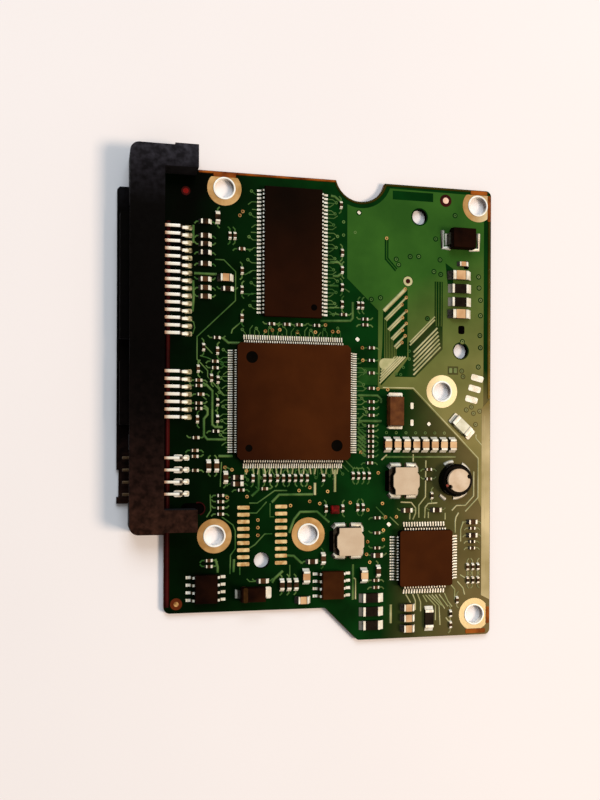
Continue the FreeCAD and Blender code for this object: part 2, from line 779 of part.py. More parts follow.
def add_cavities(body):
    """Mating cavities open to the front, and the slits their contacts pass through."""
    roof = "(Sizes.connector_height - Sizes.roof_thickness)"
    spans = [("Sizes.signal_first - Sizes.cavity_margin", f"{power_end} + Sizes.cavity_margin"),
             ("Sizes.jumper_first - Sizes.jumper_margin", f"{jumper_end} + Sizes.jumper_margin")]
    cavity = new_sketch(body, "mating_cavities", "YZ_Plane", housing_front)
    for low, high in spans:
        add_box(cavity, along(low), size("floor_thickness"), along(high), roof)
    add_pocket(body, cavity, "Sizes.bar_depth - Sizes.back_wall", reversed_way=True)

    slits = new_sketch(body, "contact_slits", "YZ_Plane", housing_rear)
    half = "Sizes.contact_width / 2"
    for first, last in ((size("power_first"), power_end), (size("signal_first"), signal_end)):
        add_box(slits, along(f"{first} - {half}"), contact_underside,
                along(f"{last} + {half}"), size("tongue_underside"))
    for pin in range(int(value(size("jumper_pins")))):
        middle = f"Sizes.jumper_first + {pin} * Sizes.jumper_pitch"
        add_box(slits, along(f"{middle} - Sizes.jumper_thickness / 2"), jumper_underside,
                along(f"{middle} + Sizes.jumper_thickness / 2"), size("jumper_top"))
    add_pocket(body, slits, size("back_wall"))


def add_tongue(body, name, plain_end, key_end, key_side):
    """Tongue that carries a row of contacts, keyed by a leg at one end."""
    under = size("tongue_underside")
    upper = f"({under} + Sizes.tongue_thickness)"
    leg_foot = f"({under} - Sizes.key_drop)"
    start = along(f"{plain_end} - {key_side} * Sizes.tongue_margin")
    end = along(f"{key_end} + {key_side} * Sizes.tongue_margin")
    leg = f"({end} - {key_side} * Sizes.key_width)"
    tongue = new_sketch(body, name + "_tongue", "YZ_Plane", cavity_back)
    add_loop(tongue, [(start, under), (leg, under), (leg, leg_foot), (end, leg_foot),
                      (end, upper), (start, upper)])
    add_pad(body, tongue, size("tongue_length"), reversed_way=True)


# Contacts of the connector: stamped strips from the mating face to a soldered foot
def make_contacts(label, first, pitch, count, width, top, thickness):
    """Row of bent contacts, from the tip in the cavity to the foot on the board."""
    tip = f"({cavity_back} - Sizes.tongue_length + Sizes.contact_setback)"
    bend = after("left_edge", "contact_bend")
    heel = f"({bend} + Sizes.contact_slope)"
    toe = after("left_edge", "contact_toe")
    under = f"({top} - {thickness})"
    foot_top = f"({board_face} + {thickness})"
    body = new_body(label, y=along(first))
    profile = new_sketch(body, label + "_profile", "XZ_Plane")
    add_loop(profile, [
        (tip, under), (bend, under), (heel, board_face), (toe, board_face), (toe, foot_top),
        (f"({heel} + {thickness})", foot_top), (f"({bend} + {thickness})", top), (tip, top),
    ])
    strip = add_pad(body, profile, width, midplane=True)
    repeat(body, [strip], [("Y", pitch, count)])
    return body


# Moulded packages and their gull-wing leads
def make_package(label, place, lengths, height, bevel=None, angle="0", copies=()):
    """Moulded body, drafted both ways from its parting line, with bevelled corners if asked."""
    middle = f"({board_face} + Sizes.standoff + {height} / 2)"
    body = new_body(label, *place, middle, angle)
    half_x, half_y = (f"({length} / 2)" for length in lengths)
    plan = new_sketch(body, label + "_plan", "XY_Plane")
    if bevel:
        short_x, short_y = f"({half_x} - {bevel})", f"({half_y} - {bevel})"
        add_loop(plan, [
            (short_x, f"-{half_y}"), (half_x, f"-{short_y}"), (half_x, short_y),
            (short_x, half_y), (f"-{short_x}", half_y), (f"-{half_x}", short_y),
            (f"-{half_x}", f"-{short_y}"), (f"-{short_x}", f"-{half_y}"),
        ])
    else:
        add_box(plan, f"-{half_x}", f"-{half_y}", half_x, half_y)
    halves = [add_pad(body, plan, f"{height} / 2", downwards, draft=size("mould_draft"))
              for downwards in (False, True)]
    if copies:
        repeat(body, halves, copies)
    return body


def make_leads(label, place, length, height, reach, width, rows, turns, angle="0"):
    """Gull-wing leads: each leaves at the parting line and drops to a foot that thins to its toe."""
    body = new_body(label, *place, board_face, angle)
    thickness = size("lead_thickness")
    root = f"({length} / 2)"
    toe = f"({root} + {reach})"
    knee = f"({toe} - {reach} * Sizes.foot_share)"
    rise = f"(Sizes.standoff + {height} / 2 - {thickness} / 2)"
    first = f"({rows[0][1]} * ({rows[0][2]} - 1) / 2)" if rows else "0"
    profile = new_sketch(body, label + "_profile", "XZ_Plane", first)
    add_loop(profile, [(toe, "0"), (knee, thickness), (root, f"({rise} + {thickness})"),
                       (root, rise), (knee, "0")])
    lead = add_pad(body, profile, width, midplane=True)
    repeat(body, [lead], rows, turns)
    return body


def add_marks(body, height):
    """Round ejector marks in the controller's top face, two at corners and a smaller one."""
    half = f"({packed_length('controller')} / 2)"
    far = f"({half} - Sizes.mark_inset)"
    near = f"({half} - Sizes.pin_mark_inset)"
    marks = new_sketch(body, body.Label + "_marks", "XY_Plane", f"{height} / 2")
    add_circle(marks, f"-{far}", far, size("mark_radius"))
    add_circle(marks, far, f"-{far}", size("mark_radius"))
    add_circle(marks, f"-{near}", f"-{near}", size("pin_mark_radius"))
    add_pocket(body, marks, size("mark_depth"))


def make_flat_packs():
    """Controller and motor driver, with leads on four sides."""
    places = {
        "controller": (LINES["centre_x"], LINES["centre_y"]),
        "driver": (LINES["driver_x"], LINES["driver_y"]),
    }
    nodes = []
    for chip, place in places.items():
        side = packed_length(chip)
        height = size(chip + "_height")
        body = make_package(chip + "_body", place, (side, side), height, size(chip + "_bevel"))
        if chip == "controller":
            add_marks(body, height)
        row = ("Y", size(chip + "_pitch"), size(chip + "_leads"))
        leads = make_leads(chip + "_leads", place, side, height, size("lead_reach"),
                           size(chip + "_lead_width"), [row], 4)
        nodes += [body, leads]
    return nodes


def make_memory():
    """Memory chip, with leads on its two long sides."""
    place = (before("centre_x", "memory_shift"), LINES["memory_y"])
    lengths = (size("memory_width"), packed_length("memory"))
    height = size("memory_height")
    body = make_package("memory_body", place, lengths, height)
    row = ("Y", size("memory_pitch"), size("memory_leads"))
    leads = make_leads("memory_leads", place, lengths[0], height, size("memory_lead_reach"),
                       size("memory_lead_width"), [row], 2)
    return [body, leads]


def make_switches():
    """Two eight-lead power switches in line along the lower edge."""
    lengths = (size("switch_width"), packed_length("switch"))
    height = size("switch_height")
    near = after("left_edge", "switch_from_left")
    far = after("centre_x", "far_switch_x")
    place = (near, f"({LINES['lower_edge']} + Sizes.switch_margin + {lengths[1]} / 2)")
    pair = ("X", f"({far} - {near})", "2")
    bodies = make_package("switch_bodies", place, lengths, height, copies=[pair])
    row = ("Y", size("switch_pitch"), size("switch_leads"))
    leads = make_leads("switch_leads", place, lengths[0], height, size("switch_lead_reach"),
                       size("switch_lead_width"), [row, pair], 2)
    return [bodies, leads]


def make_two_tab_parts():
    """Diodes and the tantalum capacitor: moulded bodies with a metal tab at each end."""
    parts = {
        "clamp": (before("right_edge", "clamp_from_right"), before("top_edge", "clamp_from_top"),
                  "diode_reach", "0"),
        "rectifier": (before("centre_x", "rectifier_x"),
                      after("lower_edge", "rectifier_from_lower"), "diode_reach", "0"),
        "tantalum": (after("east", "tantalum_from_controller"), "(-Sizes.tantalum_drop)",
                     "tantalum_reach", "90"),
    }
    nodes = []
    for name, (x, y, reach, angle) in parts.items():
        lengths = (size(name + "_length"), size(name + "_width"))
        height = size(name + "_height")
        body = make_package(name + "_body", (x, y), lengths, height, angle=angle)
        tabs = make_leads(name + "_tabs", (x, y), lengths[0], height, size(reach),
                          size(name + "_tab_width"), [], 2, angle)
        nodes += [body, tabs]
    return nodes


def make_sensor():
    """Small moulded shock sensor."""
    lengths = (size("sensor_length"), size("sensor_length"))
    place = (LINES["sensor_x"], LINES["sensor_y"])
    return [make_package("shock_sensor", place, lengths, size("sensor_height"))]


# Coils: two square chokes on foil terminals, and a round drum coil
def make_chokes():
    """Two square chokes with bowed sides, each on a pair of foil terminals."""
    places = [(after("east", "upper_choke_x"), before("south", "upper_choke_drop")),
              (after("centre_x", "lower_choke_x"),
               f"({LINES['choke_end']} - Sizes.choke_foil_length / 2)")]
    names = ("upper_choke", "lower_choke")
    nodes = []
    foils = []
    base = f"({board_face} + Sizes.choke_foil)"
    shift = "((Sizes.choke_foil_width + Sizes.choke_foil_gap) / 2)"
    for name, (x, y) in zip(names, places):
        body = new_body(name, x, y, base)
        plan = new_sketch(body, name + "_plan", "XY_Plane")
        add_crowned_square(plan, "(Sizes.choke_length / 2)", size("choke_crown"), size("choke_corner"))
        add_pad(body, plan, size("choke_height"))
        nodes.append(body)
        for side, sign in (("left", "-"), ("right", "+")):
            foils.append(make_block(f"{name}_{side}_foil", (f"({x} {sign} {shift})", y),
                                    (size("choke_foil_width"), size("choke_foil_length")),
                                    board_face, size("choke_foil")))
    nodes.append(make_group("choke_foils", foils))
    return nodes


def make_drum_coil():
    """Round coil: a casing round its winding, and the top flange of its ferrite drum."""
    place = (before("right_edge", "drum_from_right"), before("south", "drum_drop"))
    radius, height, bevel = size("drum_radius"), size("drum_height"), size("drum_bevel")
    flange = size("drum_flange_radius")
    top = f"({height} + Sizes.drum_flange)"
    profiles = {
        "drum_casing": [("0", "0"), (radius, "0"), (radius, f"({height} - {bevel})"),
                        (f"({radius} - {bevel})", height), ("0", height)],
        "drum_core": [("0", height), (flange, height), (flange, top), ("0", top)],
    }
    nodes = []
    for label, corners in profiles.items():
        body = new_body(label, *place, board_face)
        profile = new_sketch(body, label + "_profile", "XZ_Plane")
        add_loop(profile, corners)
        turned = body.newObject("PartDesign::Revolution", label + "_turned")
        turned.Profile = profile
        turned.ReferenceAxis = (origin_feature(body, "Z_Axis"), [""])
        turned.Angle = 360
        nodes.append(body)
    return nodes


# Fuse: a chip set aslant, with a cap at each end
def make_fuse():
    place = (before("right_edge", "fuse_from_right"), "(-Sizes.fuse_drop)")
    half, side = "(Sizes.fuse_length / 2)", "(Sizes.fuse_width / 2)"
    inner = f"({half} - Sizes.fuse_cap)"
    body = new_body("fuse_body", *place, board_face, size("fuse_angle"))
    plan = new_sketch(body, "fuse_plan", "XY_Plane")
    waist = f"({side} - Sizes.fuse_cap_lip)"
    add_box(plan, f"-{inner}", f"-{waist}", inner, waist)
    add_pad(body, plan, "Sizes.fuse_height - Sizes.fuse_cap_lip")
    caps = new_body("fuse_caps", *place, board_face, size("fuse_angle"))
    cap_plan = new_sketch(caps, "fuse_cap_plan", "XY_Plane")
    add_box(cap_plan, f"-{half}", f"-{side}", f"-{inner}", side)
    add_box(cap_plan, inner, f"-{side}", half, side)
    add_pad(caps, cap_plan, size("fuse_height"))
    return [body, caps]


# Chip passives, row by row
def row_places(row, line_x, line_y):
    """Places of the chips of one row, as pairs of expressions."""
    name = row[0]
    count = int(value(size(name + "_count"))) if len(row) > 5 else 1
    for index in range(count):
        x, y = after(line_x, name + "_x"), after(line_y, name + "_y")
        if index and row[5] == "x":
            x = f"({x} + {index} * Sizes.{name}_step)"
        elif index:
            y = f"({y} + {index} * Sizes.{name}_step)"
        yield f"{name}_{index + 1}", (x, y)


def make_chips():
    """Chip passives of each node, one solid each."""
    nodes = []
    for label, groups in CHIPS.items():
        chips = []
        for line_x, line_y, rows in groups:
            for row in rows:
                chips += make_chip_row(row, line_x, line_y)
        nodes.append(make_group(label, chips))
    return nodes


def make_chip_row(row, line_x, line_y):
    """Like chips at the places of one row, lying along X or Y."""
    kind, lie = row[1], row[2]
    lengths = [size(kind + "_length"), size(kind + "_width")]
    if lie == "y":
        lengths.reverse()
    return [make_block(name, place, lengths, board_face, size(kind + "_height"))
            for name, place in row_places(row, line_x, line_y)]


def make_all_contacts():
    """Contact rows of the power, signal and jumper sections."""
    strip = (size("contact_width"), size("tongue_underside"), size("contact_thickness"))
    pin = (size("jumper_thickness"), size("jumper_top"), size("jumper_thickness"))
    pitch = size("contact_pitch")
    return [
        make_contacts("power_strips", size("power_first"), pitch, size("power_contacts"), *strip),
        make_contacts("signal_strips", size("signal_first"), pitch, size("signal_contacts"), *strip),
        make_contacts("jumper_posts", size("jumper_first"), size("jumper_pitch"),
                      size("jumper_pins"), *pin),
    ]


nodes = [make_board(), make_connector_housing()]
nodes += make_all_contacts()
nodes += make_flat_packs()
nodes += make_memory()
nodes += make_switches()
nodes += make_two_tab_parts()
nodes += make_sensor()
nodes += make_chokes()
nodes += make_drum_coil()
nodes += make_fuse()
nodes += make_chips()
doc.recompute()

for item in doc.Objects:
    if "Invalid" in item.State or "Error" in item.State:
        raise RuntimeError(f"{item.Label} failed: {item.State}")
for node in nodes:
    if node.Shape.isNull() or not node.Shape.isValid():
        raise RuntimeError(f"{node.Label} has no valid shape")

os.makedirs("parts", exist_ok=True)
for node in nodes:
    node.Shape.exportStep(f"parts/{node.Label}.step")
    print(node.Label, len(node.Shape.Solids), "solids")
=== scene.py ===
import bmesh
import bpy
import math
from mathutils import Matrix, Vector


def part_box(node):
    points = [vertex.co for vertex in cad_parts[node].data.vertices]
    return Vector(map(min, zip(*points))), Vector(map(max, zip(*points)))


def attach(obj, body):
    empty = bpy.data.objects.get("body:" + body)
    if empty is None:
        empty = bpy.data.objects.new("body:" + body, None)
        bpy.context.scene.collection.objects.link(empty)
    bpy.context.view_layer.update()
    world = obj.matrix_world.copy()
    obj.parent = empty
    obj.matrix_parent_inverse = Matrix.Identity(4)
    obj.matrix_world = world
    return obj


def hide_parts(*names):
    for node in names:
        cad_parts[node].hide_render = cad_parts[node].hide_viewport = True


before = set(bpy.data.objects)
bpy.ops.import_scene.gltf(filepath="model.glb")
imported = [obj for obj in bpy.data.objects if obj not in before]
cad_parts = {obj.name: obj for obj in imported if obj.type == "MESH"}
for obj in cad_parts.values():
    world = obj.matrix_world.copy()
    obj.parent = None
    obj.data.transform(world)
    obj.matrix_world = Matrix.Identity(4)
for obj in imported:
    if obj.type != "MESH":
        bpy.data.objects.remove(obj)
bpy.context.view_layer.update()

# The board is a sheet of glass-epoxy laminate with copper layers inside, routed to its stepped outline and
# drilled. Dark green solder mask covers both faces, and the sawn edges stay bare and brown.
MM = 0.001
board_low, board_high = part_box("circuit_board")
board_face = board_high.z
controller_low, controller_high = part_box("controller_body")
centre = (controller_low + controller_high) / 2
origin = Vector((centre.x, centre.y, board_face))
SHEEN = (255, 226, 184)
MASK_RELIEF = (0.4, 0.006)
# Green of the mask where painted light falls on it.
PAINTED_LIT_GREEN = ((2, 36, 7), (4, 50, 12), 6.0)


def seen(red, green, blue):
    """Colour as a screen shows it, from 0 to 255, in the linear values that a shader takes."""
    shares = [value / 255 for value in (red, green, blue)]
    linear = [((share + 0.055) / 1.055) ** 2.4 if share > 0.04 else share / 12.92 for share in shares]
    return (*linear, 1.0)


def add_node(finish, kind, **sources):
    """Node of a finish, with some of its inputs fed by other nodes' outputs."""
    node = finish.node_tree.nodes.new(kind)
    for socket, source in sources.items():
        finish.node_tree.links.new(source, node.inputs[socket])
    return node


def feed(finish, socket, source):
    """Join a node's output to a socket of the finish's shader."""
    shader = finish.node_tree.nodes["Principled BSDF"]
    finish.node_tree.links.new(source, shader.inputs[socket])


def add_noise(finish, patch, detail=3.0):
    """Cloudy pattern in the piece's own space, its patches this many millimetres wide."""
    place = add_node(finish, "ShaderNodeTexCoord")
    noise = add_node(finish, "ShaderNodeTexNoise", Vector=place.outputs["Object"])
    noise.inputs["Scale"].default_value = 1 / (patch * MM)
    noise.inputs["Detail"].default_value = detail
    return noise.outputs["Fac"]


def add_ramp(finish, source, stops):
    """Colours over a range of values, each stop a place from 0 to 1 and a colour as seen."""
    ramp = add_node(finish, "ShaderNodeValToRGB", Fac=source)
    elements = ramp.color_ramp.elements
    while len(elements) < len(stops):
        elements.new(1.0)
    for element, (position, colour) in zip(elements, stops):
        element.position = position
        element.color = seen(*colour)
    return ramp.outputs["Color"]


def wander(finish, dark, pale, patch):
    """Tone that wanders between two colours in patches this many millimetres wide."""
    return add_ramp(finish, add_noise(finish, patch), [(0.35, dark), (0.65, pale)])


def new_finish(name, dark, pale, patch, roughness, metallic=0.0, gloss=0.07, relief=(0.3, 0.01)):
    """Finish that wanders between two tones, with a fine relief of this width and depth."""
    finish = bpy.data.materials.new(name)
    finish.use_nodes = True
    shader = finish.node_tree.nodes["Principled BSDF"]
    shader.inputs["Roughness"].default_value = roughness
    shader.inputs["Metallic"].default_value = metallic
    shader.inputs["Specular IOR Level"].default_value = gloss
    shader.inputs["Specular Tint"].default_value = seen(*SHEEN)
    feed(finish, "Base Color", wander(finish, dark, pale, patch))
    width, depth = relief
    bump = add_node(finish, "ShaderNodeBump", Height=add_noise(finish, width, 5.0))
    bump.inputs["Distance"].default_value = depth * MM
    feed(finish, "Normal", bump.outputs["Normal"])
    return finish


def overlay(finish, share, tone):
    """Cover the colour of a finish with another tone as far as a share from 0 to 1 says."""
    present = finish.node_tree.nodes["Principled BSDF"].inputs["Base Color"].links[0].from_socket
    mix = add_node(finish, "ShaderNodeMixRGB", Fac=share, Color1=present, Color2=tone)
    feed(finish, "Base Color", mix.outputs["Color"])


def share_towards(finish, vector, way, start, end):
    """Share from 0 to 1 as a vector reaches further along a way."""
    along = add_node(finish, "ShaderNodeVectorMath", Vector=vector)
    along.operation = "DOT_PRODUCT"
    along.inputs[1].default_value = way
    reach = add_node(finish, "ShaderNodeMapRange", Value=along.outputs["Value"])
    reach.inputs["From Min"].default_value = start
    reach.inputs["From Max"].default_value = end
    return reach.outputs["Result"]


def share_along(finish, way, start, end):
    """Share from 0 to 1 along a way, in millimetres from the board's face under the controller."""
    place = add_node(finish, "ShaderNodeTexCoord").outputs["Object"]
    base = origin.dot(Vector(way)) / MM
    return share_towards(finish, place, Vector(way) / MM, base + start, base + end)


def shade_along(finish, way, start, end, *tones):
    """Let a finish run over along a way into other tones: a dark one, a pale one and their patch width."""
    overlay(finish, share_along(finish, way, start, end), wander(finish, *tones))


def shade_steep(finish, level, *tones):
    """Give other tones to the faces of a finish that are steeper than a level."""
    geometry = add_node(finish, "ShaderNodeNewGeometry")
    facing = add_node(finish, "ShaderNodeSeparateXYZ", Vector=geometry.outputs["True Normal"])
    slope = add_node(finish, "ShaderNodeMath", Value=facing.outputs["Z"])
    slope.operation = "ABSOLUTE"
    steepness = add_node(finish, "ShaderNodeMapRange", Value=slope.outputs["Value"])
    steepness.inputs["From Min"].default_value = level
    steepness.inputs["From Max"].default_value = 0.1
    overlay(finish, steepness.outputs["Result"], wander(finish, *tones))


mask = new_finish("mask_on_laminate", (0, 10, 1), (1, 18, 3), 6.0, 0.4, gloss=0.02, relief=MASK_RELIEF)
# Painted light: darker to the left, lit green to the right.
shade_along(mask, (1, 0, 0), -16, 12, *PAINTED_LIT_GREEN)
# Painted reflection of the warm lamp: olive towards the far side.
shade_along(mask, (1, -0.1, 0), 20, 42, (106, 88, 50), (128, 108, 66), 9.0)
# Painted light: green again towards the top right corner.
shade_along(mask, (1, 1, 0), 36, 42, *PAINTED_LIT_GREEN)
# Painted shade: near black beside the connector's upper arm.
shade_along(mask, (-0.9, 0.35, 0), 21, 27, (0, 1, 0), (0, 5, 1), 6.0)
shade_steep(mask, 0.9, (74, 30, 10), (120, 66, 24), 1.0)
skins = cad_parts["circuit_board"].data.materials
skins.clear()
skins.append(mask)

# Copper is etched to its pattern on the board's face and shows through the mask as a paler green. On the
# right it is one broad pour, cut back round holes, vias and bundles of tracks, and a small patch lies
# beside the controller.
COPPER = 0.03
NOTCH_X, NOTCH_Y, NOTCH_RADIUS = 12.0, 39.9, 4.6
NOTCH_MARGIN = 1.1
TOP_RIGHT_SCREW = (34.1, 36.0)
MIDDLE_SCREW = (27.3, 2.35)
LAND_RADIUS = 2.92
CORNER_RADIUS = 2.75
POUR_LAP = 0.2
LOCATING = [(22.95, 33.35), (30.9, 9.7)]
LOCATING_CLEARING = 1.6
BUS_MARK = (20.8, 21.8)
BUS_MARK_CLEARING = 0.95
TOP_PAD = (11.7, 33.4)
TOP_PAD_CLEARING = 0.5
VIA_CLEARING = 0.48
DARK_VIAS = [
    (18.6, 25.6), (19.05, 24.65), (21.2, 26.2), (22.8, 26.3), (14.0, 18.3), (15.7, 18.65), (26.0, 29.6),
    (26.85, 25.9), (25.7, 23.75), (27.0, 23.3), (29.7, 34.0), (24.5, 15.3), (31.1, 6.1), (31.35, 5.1),
    (32.0, -0.9), (33.4, -1.5), (34.6, -1.1), (34.3, 23.2), (34.4, 21.2), (34.7, 19.0), (34.7, 16.2),
    (34.6, 12.6), (34.7, 10.4), (34.3, 6.9), (31.2, 11.4), (33.0, -0.35), (33.8, -3.5),
]


def arc_points(x, y, radius, start, end, count):
    """Places along an arc between two angles in degrees."""
    steps = [math.radians(start + (end - start) * step / count) for step in range(count + 1)]
    return [(x + radius * math.cos(step), y + radius * math.sin(step)) for step in steps]


def circle_points(x, y, radius, count=24):
    """Places round a full circle."""
    return arc_points(x, y, radius, 0, 360 - 360 / count, count - 1)


def only(piece):
    """Make a piece the only one selected, and the active one."""
    bpy.ops.object.select_all(action="DESELECT")
    piece.select_set(True)
    bpy.context.view_layer.objects.active = piece


def draw(name, routes, closed, **settings):
    """Polylines in one curve, measured in millimetres from the controller's centre, made a mesh."""
    drawing = bpy.data.curves.new(name, "CURVE")
    for setting, value in settings.items():
        setattr(drawing, setting, value)
    for route in routes:
        line = drawing.splines.new("POLY")
        line.points.add(len(route) - 1)
        line.use_cyclic_u = closed
        for point, (x, y) in zip(line.points, route):
            point.co = (x * MM, y * MM, 0, 1)
    piece = bpy.data.objects.new(name, drawing)
    bpy.context.collection.objects.link(piece)
    only(piece)
    bpy.ops.object.convert(target="MESH")
    return piece


def lay(piece, finish, slot, *nodes):
    """Give a piece its finish, the board's one body and the nodes that it stands for; its slot is not used.
    """
    if finish:
        piece.data.materials.clear()
        piece.data.materials.append(finish)
    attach(piece, "root")
    if nodes:
        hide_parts(*nodes)


def lay_pour(name, outlines, finish, rise=COPPER, slot="solder_mask", base=0.0):
    """Flat sheet inside an outline, cut out inside any further ones."""
    sheet = draw(name, outlines, True, dimensions="2D", fill_mode="BOTH", extrude=rise / 2 * MM)
    sheet.location = origin + Vector((0, 0, (base + rise / 2) * MM))
    bpy.ops.object.transform_apply(location=True)
    lay(sheet, finish, slot)


pour_mask = new_finish("mask_on_copper", (36, 78, 22), (48, 92, 28), 7.0, 0.42, relief=MASK_RELIEF)
# Painted reflection of the warm lamp: the pour turns olive towards the lower right.
shade_along(pour_mask, (0.45, -0.9, 0), -10, 20, (120, 110, 60), (140, 126, 74), 7.0)
upper_pour = arc_points(NOTCH_X, NOTCH_Y, NOTCH_RADIUS + NOTCH_MARGIN, 245, 341, 12)
upper_pour += arc_points(*TOP_RIGHT_SCREW, CORNER_RADIUS, 136, 296, 14)
upper_pour += [(35.3, -19.4), (34.3, -17.0), (34.3, -9.9), (30.5, -6.0), (21.8, 2.6), (15.3, 2.6),
               (15.3, 16.4), (9.6, 21.8)]
clearings = [circle_points(x, y, VIA_CLEARING, 16) for x, y in DARK_VIAS]
clearings += [circle_points(x, y, LOCATING_CLEARING) for x, y in LOCATING]
clearings.append(circle_points(*BUS_MARK, BUS_MARK_CLEARING))
clearings.append(circle_points(*TOP_PAD, TOP_PAD_CLEARING))
clearings.append(circle_points(*MIDDLE_SCREW, LAND_RADIUS - POUR_LAP, 36))
label_field = [(17.9, 36.15), (25.5, 36.15), (25.5, 37.7), (17.9, 37.7)]
pad_field = [(28.4, 5.4), (30.4, 5.4), (30.4, 6.9), (28.4, 6.9)]
riser_field = [(16.45, 29.4), (17.15, 29.4), (17.15, 25.75), (18.8, 24.0), (18.4, 23.4), (16.45, 25.45)]
capacitor_field = [(27.9, 25.4), (29.4, 24.4), (29.4, 20.9), (28.4, 20.9), (28.2, 22.6)]
bus_field = [(16.2, 16.2), (20.2, 20.2), (20.75, 20.2), (20.75, 8.4), (15.9, 3.2), (15.5, 3.8), (16.05, 10.0)]
fine_field = [(20.95, 10.9), (25.85, 15.8), (25.85, 22.0), (27.4, 22.0), (27.4, 9.9), (22.2, 4.8),
              (18.4, 4.8), (20.95, 8.2)]
clearings += [label_field, pad_field, riser_field, capacitor_field, bus_field, fine_field]
lay_pour("upper_pour", [upper_pour, *clearings], pour_mask)
side_mask = new_finish("mask_on_side_pour", (16, 58, 16), (30, 74, 24), 2.0, 0.42, gloss=0.04)
lay_pour("side_pour", [[(11.7, 6.3), (15.2, 6.3), (15.2, 3.3), (11.7, 3.3)]], side_mask)

# Round the outline the copper stops short of the edge, so the mask lies on bare laminate there: orange
# brown at the top left, dark red on the connector's side, and olive round the notch and the far side,
# painted paler lower down the far side as a reflection of the warm lamp. Low on the far side a strip of
# copper lies under the mask, its pale tone a painted reflection of the same lamp.
edge_left = (board_low.x - centre.x) / MM
edge_right = (board_high.x - centre.x) / MM
edge_top = (board_high.y - centre.y) / MM
edge_tail = (board_low.y - centre.y) / MM
RIDGE = 0.05
TOP_WIDTH = 0.42
top_line = edge_top - 0.22
far_line = edge_right - 0.32
connector_line = edge_left + 0.48


def lay_traces(name, width, routes, finish, slot="solder_mask", rise=RIDGE):
    """Low ridges of one width along the routes."""
    tracks = draw(name, routes, False, dimensions="3D", bevel_depth=width / 2 * MM, bevel_resolution=0,
                  use_fill_caps=True)
    tracks.location = origin + Vector((0, 0, COPPER / 2 * MM))
    tracks.scale = (1, 1, 2 * rise / width)
    bpy.ops.object.transform_apply(location=True, scale=True)
    lay(tracks, finish, slot)


bare_laminate = new_finish("mask_on_bare_laminate", (96, 40, 8), (168, 88, 26), 3.0, 0.5)
lay_traces("top_border", TOP_WIDTH, [[(-16.4, top_line), (NOTCH_X - 4.5, top_line)]], bare_laminate)
olive_laminate = new_finish("mask_on_olive_laminate", (44, 42, 3), (62, 50, 7), 3.0, 0.5)
# Painted reflection of the warm lamp: paler further down the far side.
shade_along(olive_laminate, (0, -1, 0), -26, -3, (104, 84, 28), (124, 98, 40), 3.0)
lay_traces("notch_border", TOP_WIDTH, [arc_points(NOTCH_X, NOTCH_Y, NOTCH_RADIUS + 0.2, 197, 343, 20),
                                       [(NOTCH_X + 4.6, top_line), (edge_right - 1.2, top_line)]],
           olive_laminate)
lay_traces("far_border", 0.6, [[(far_line, edge_top - 1.2), (far_line, 1.2)]], olive_laminate)
red_laminate = new_finish("mask_on_red_laminate", (34, 4, 6), (66, 10, 12), 5.0, 0.5)
lay_traces("connector_border", 0.85, [[(connector_line, 30.0), (connector_line, edge_tail + 6.9)]],
           red_laminate)
strip_mask = new_finish("mask_on_far_strip", (158, 140, 92), (212, 190, 142), 9.0, 0.42)
# Painted reflection: the strip is pale, and darker towards its top where the reflection fades.
shade_along(strip_mask, (0, 1, 0), -7, 0.5, (98, 86, 38), (118, 100, 48), 3.0)
lay_pour("far_strip", [[(35.0, -0.6), (36.6, 1.2), (36.6, -35.2), (35.0, -34.4)]], strip_mask, 2 * COPPER)

# Signal tracks are the same etched copper, a quarter of a millimetre wide. Under the mask they show mid
# green, and pale on the far side, where the light glances off them.
track_mask = new_finish("mask_on_tracks", (44, 84, 34), (94, 122, 64), 3.0, 0.38)
shade_along(track_mask, (0.95, -0.3, 0), 20, 36, (120, 118, 74), (160, 152, 104), 3.0)
lay_traces("connector_tracks", 0.26, [
    [(-13.6, 23.9), (-12.1, 23.9), (-10.1, 22.0), (-10.1, 17.1), (-16.6, 10.8), (-16.6, 7.0), (-14.8, 5.1),
     (-14.8, 4.1), (-11.9, 0.9)],
    [(-9.0, 13.6), (-10.6, 12.2), (-10.8, 11.5)], [(-15.4, 9.4), (-14.0, 8.0)], [(-16.1, 1.2), (-15.0, 0.2)],
    [(-16.1, 7.6), (-14.9, 7.3), (-13.8, 6.8)], [(-16.4, 5.3), (-15.6, 4.7)],
    [(-12.4, -10.3), (-12.6, -14.5)],
    [(-18.0, 13.6), (-17.2, 13.2), (-17.0, 12.3), (-17.3, 11.3), (-18.0, 11.1)],
    [(-14.3, -15.8), (-14.2, -18.5), (-14.9, -19.6)], [(-11.9, -11.0), (-10.4, -11.8)],
    [(-12.3, -19.6), (-10.4, -21.0), (-10.0, -22.0), (-10.0, -25.0), (-10.8, -26.1), (-10.9, -29.3)],
    [(-8.9, 18.3), (-7.0, 18.3)], [(-9.0, 21.7), (-8.4, 21.6), (-7.3, 22.3)], [(-9.2, 25.9), (-7.2, 25.9)],
    [(-7.6, -19.0), (-6.3, -19.0), (-4.6, -17.1)],
    [(-7.6, -25.0), (-6.6, -24.4), (-4.9, -22.6), (-3.6, -22.6)],
    [(-7.6, -17.3), (-6.2, -17.3), (-3.2, -15.2), (-1.0, -15.2)],
    [(-4.0, -17.4), (-4.0, -19.7), (-3.3, -19.7)],
    [(-0.5, -28.0), (-0.5, -30.0)], [(-9.2, -28.2), (-9.2, -29.5)],
    [(-8.0, -30.2), (-7.5, -30.7), (-5.8, -30.7)], [(15.0, -18.2), (16.8, -20.0)],
    [(17.6, -20.0), (19.2, -21.5)], [(9.0, -9.6), (10.8, -11.4), (12.4, -11.4)],
    [(8.6, -10.6), (10.0, -12.0)], [(6.4, 16.6), (8.2, 16.6)], [(6.4, 15.4), (8.0, 15.5)],
    [(9.2, 19.9), (10.0, 19.4)], [(12.6, -2.1), (11.8, -2.9), (11.8, -4.0)],
], track_mask)

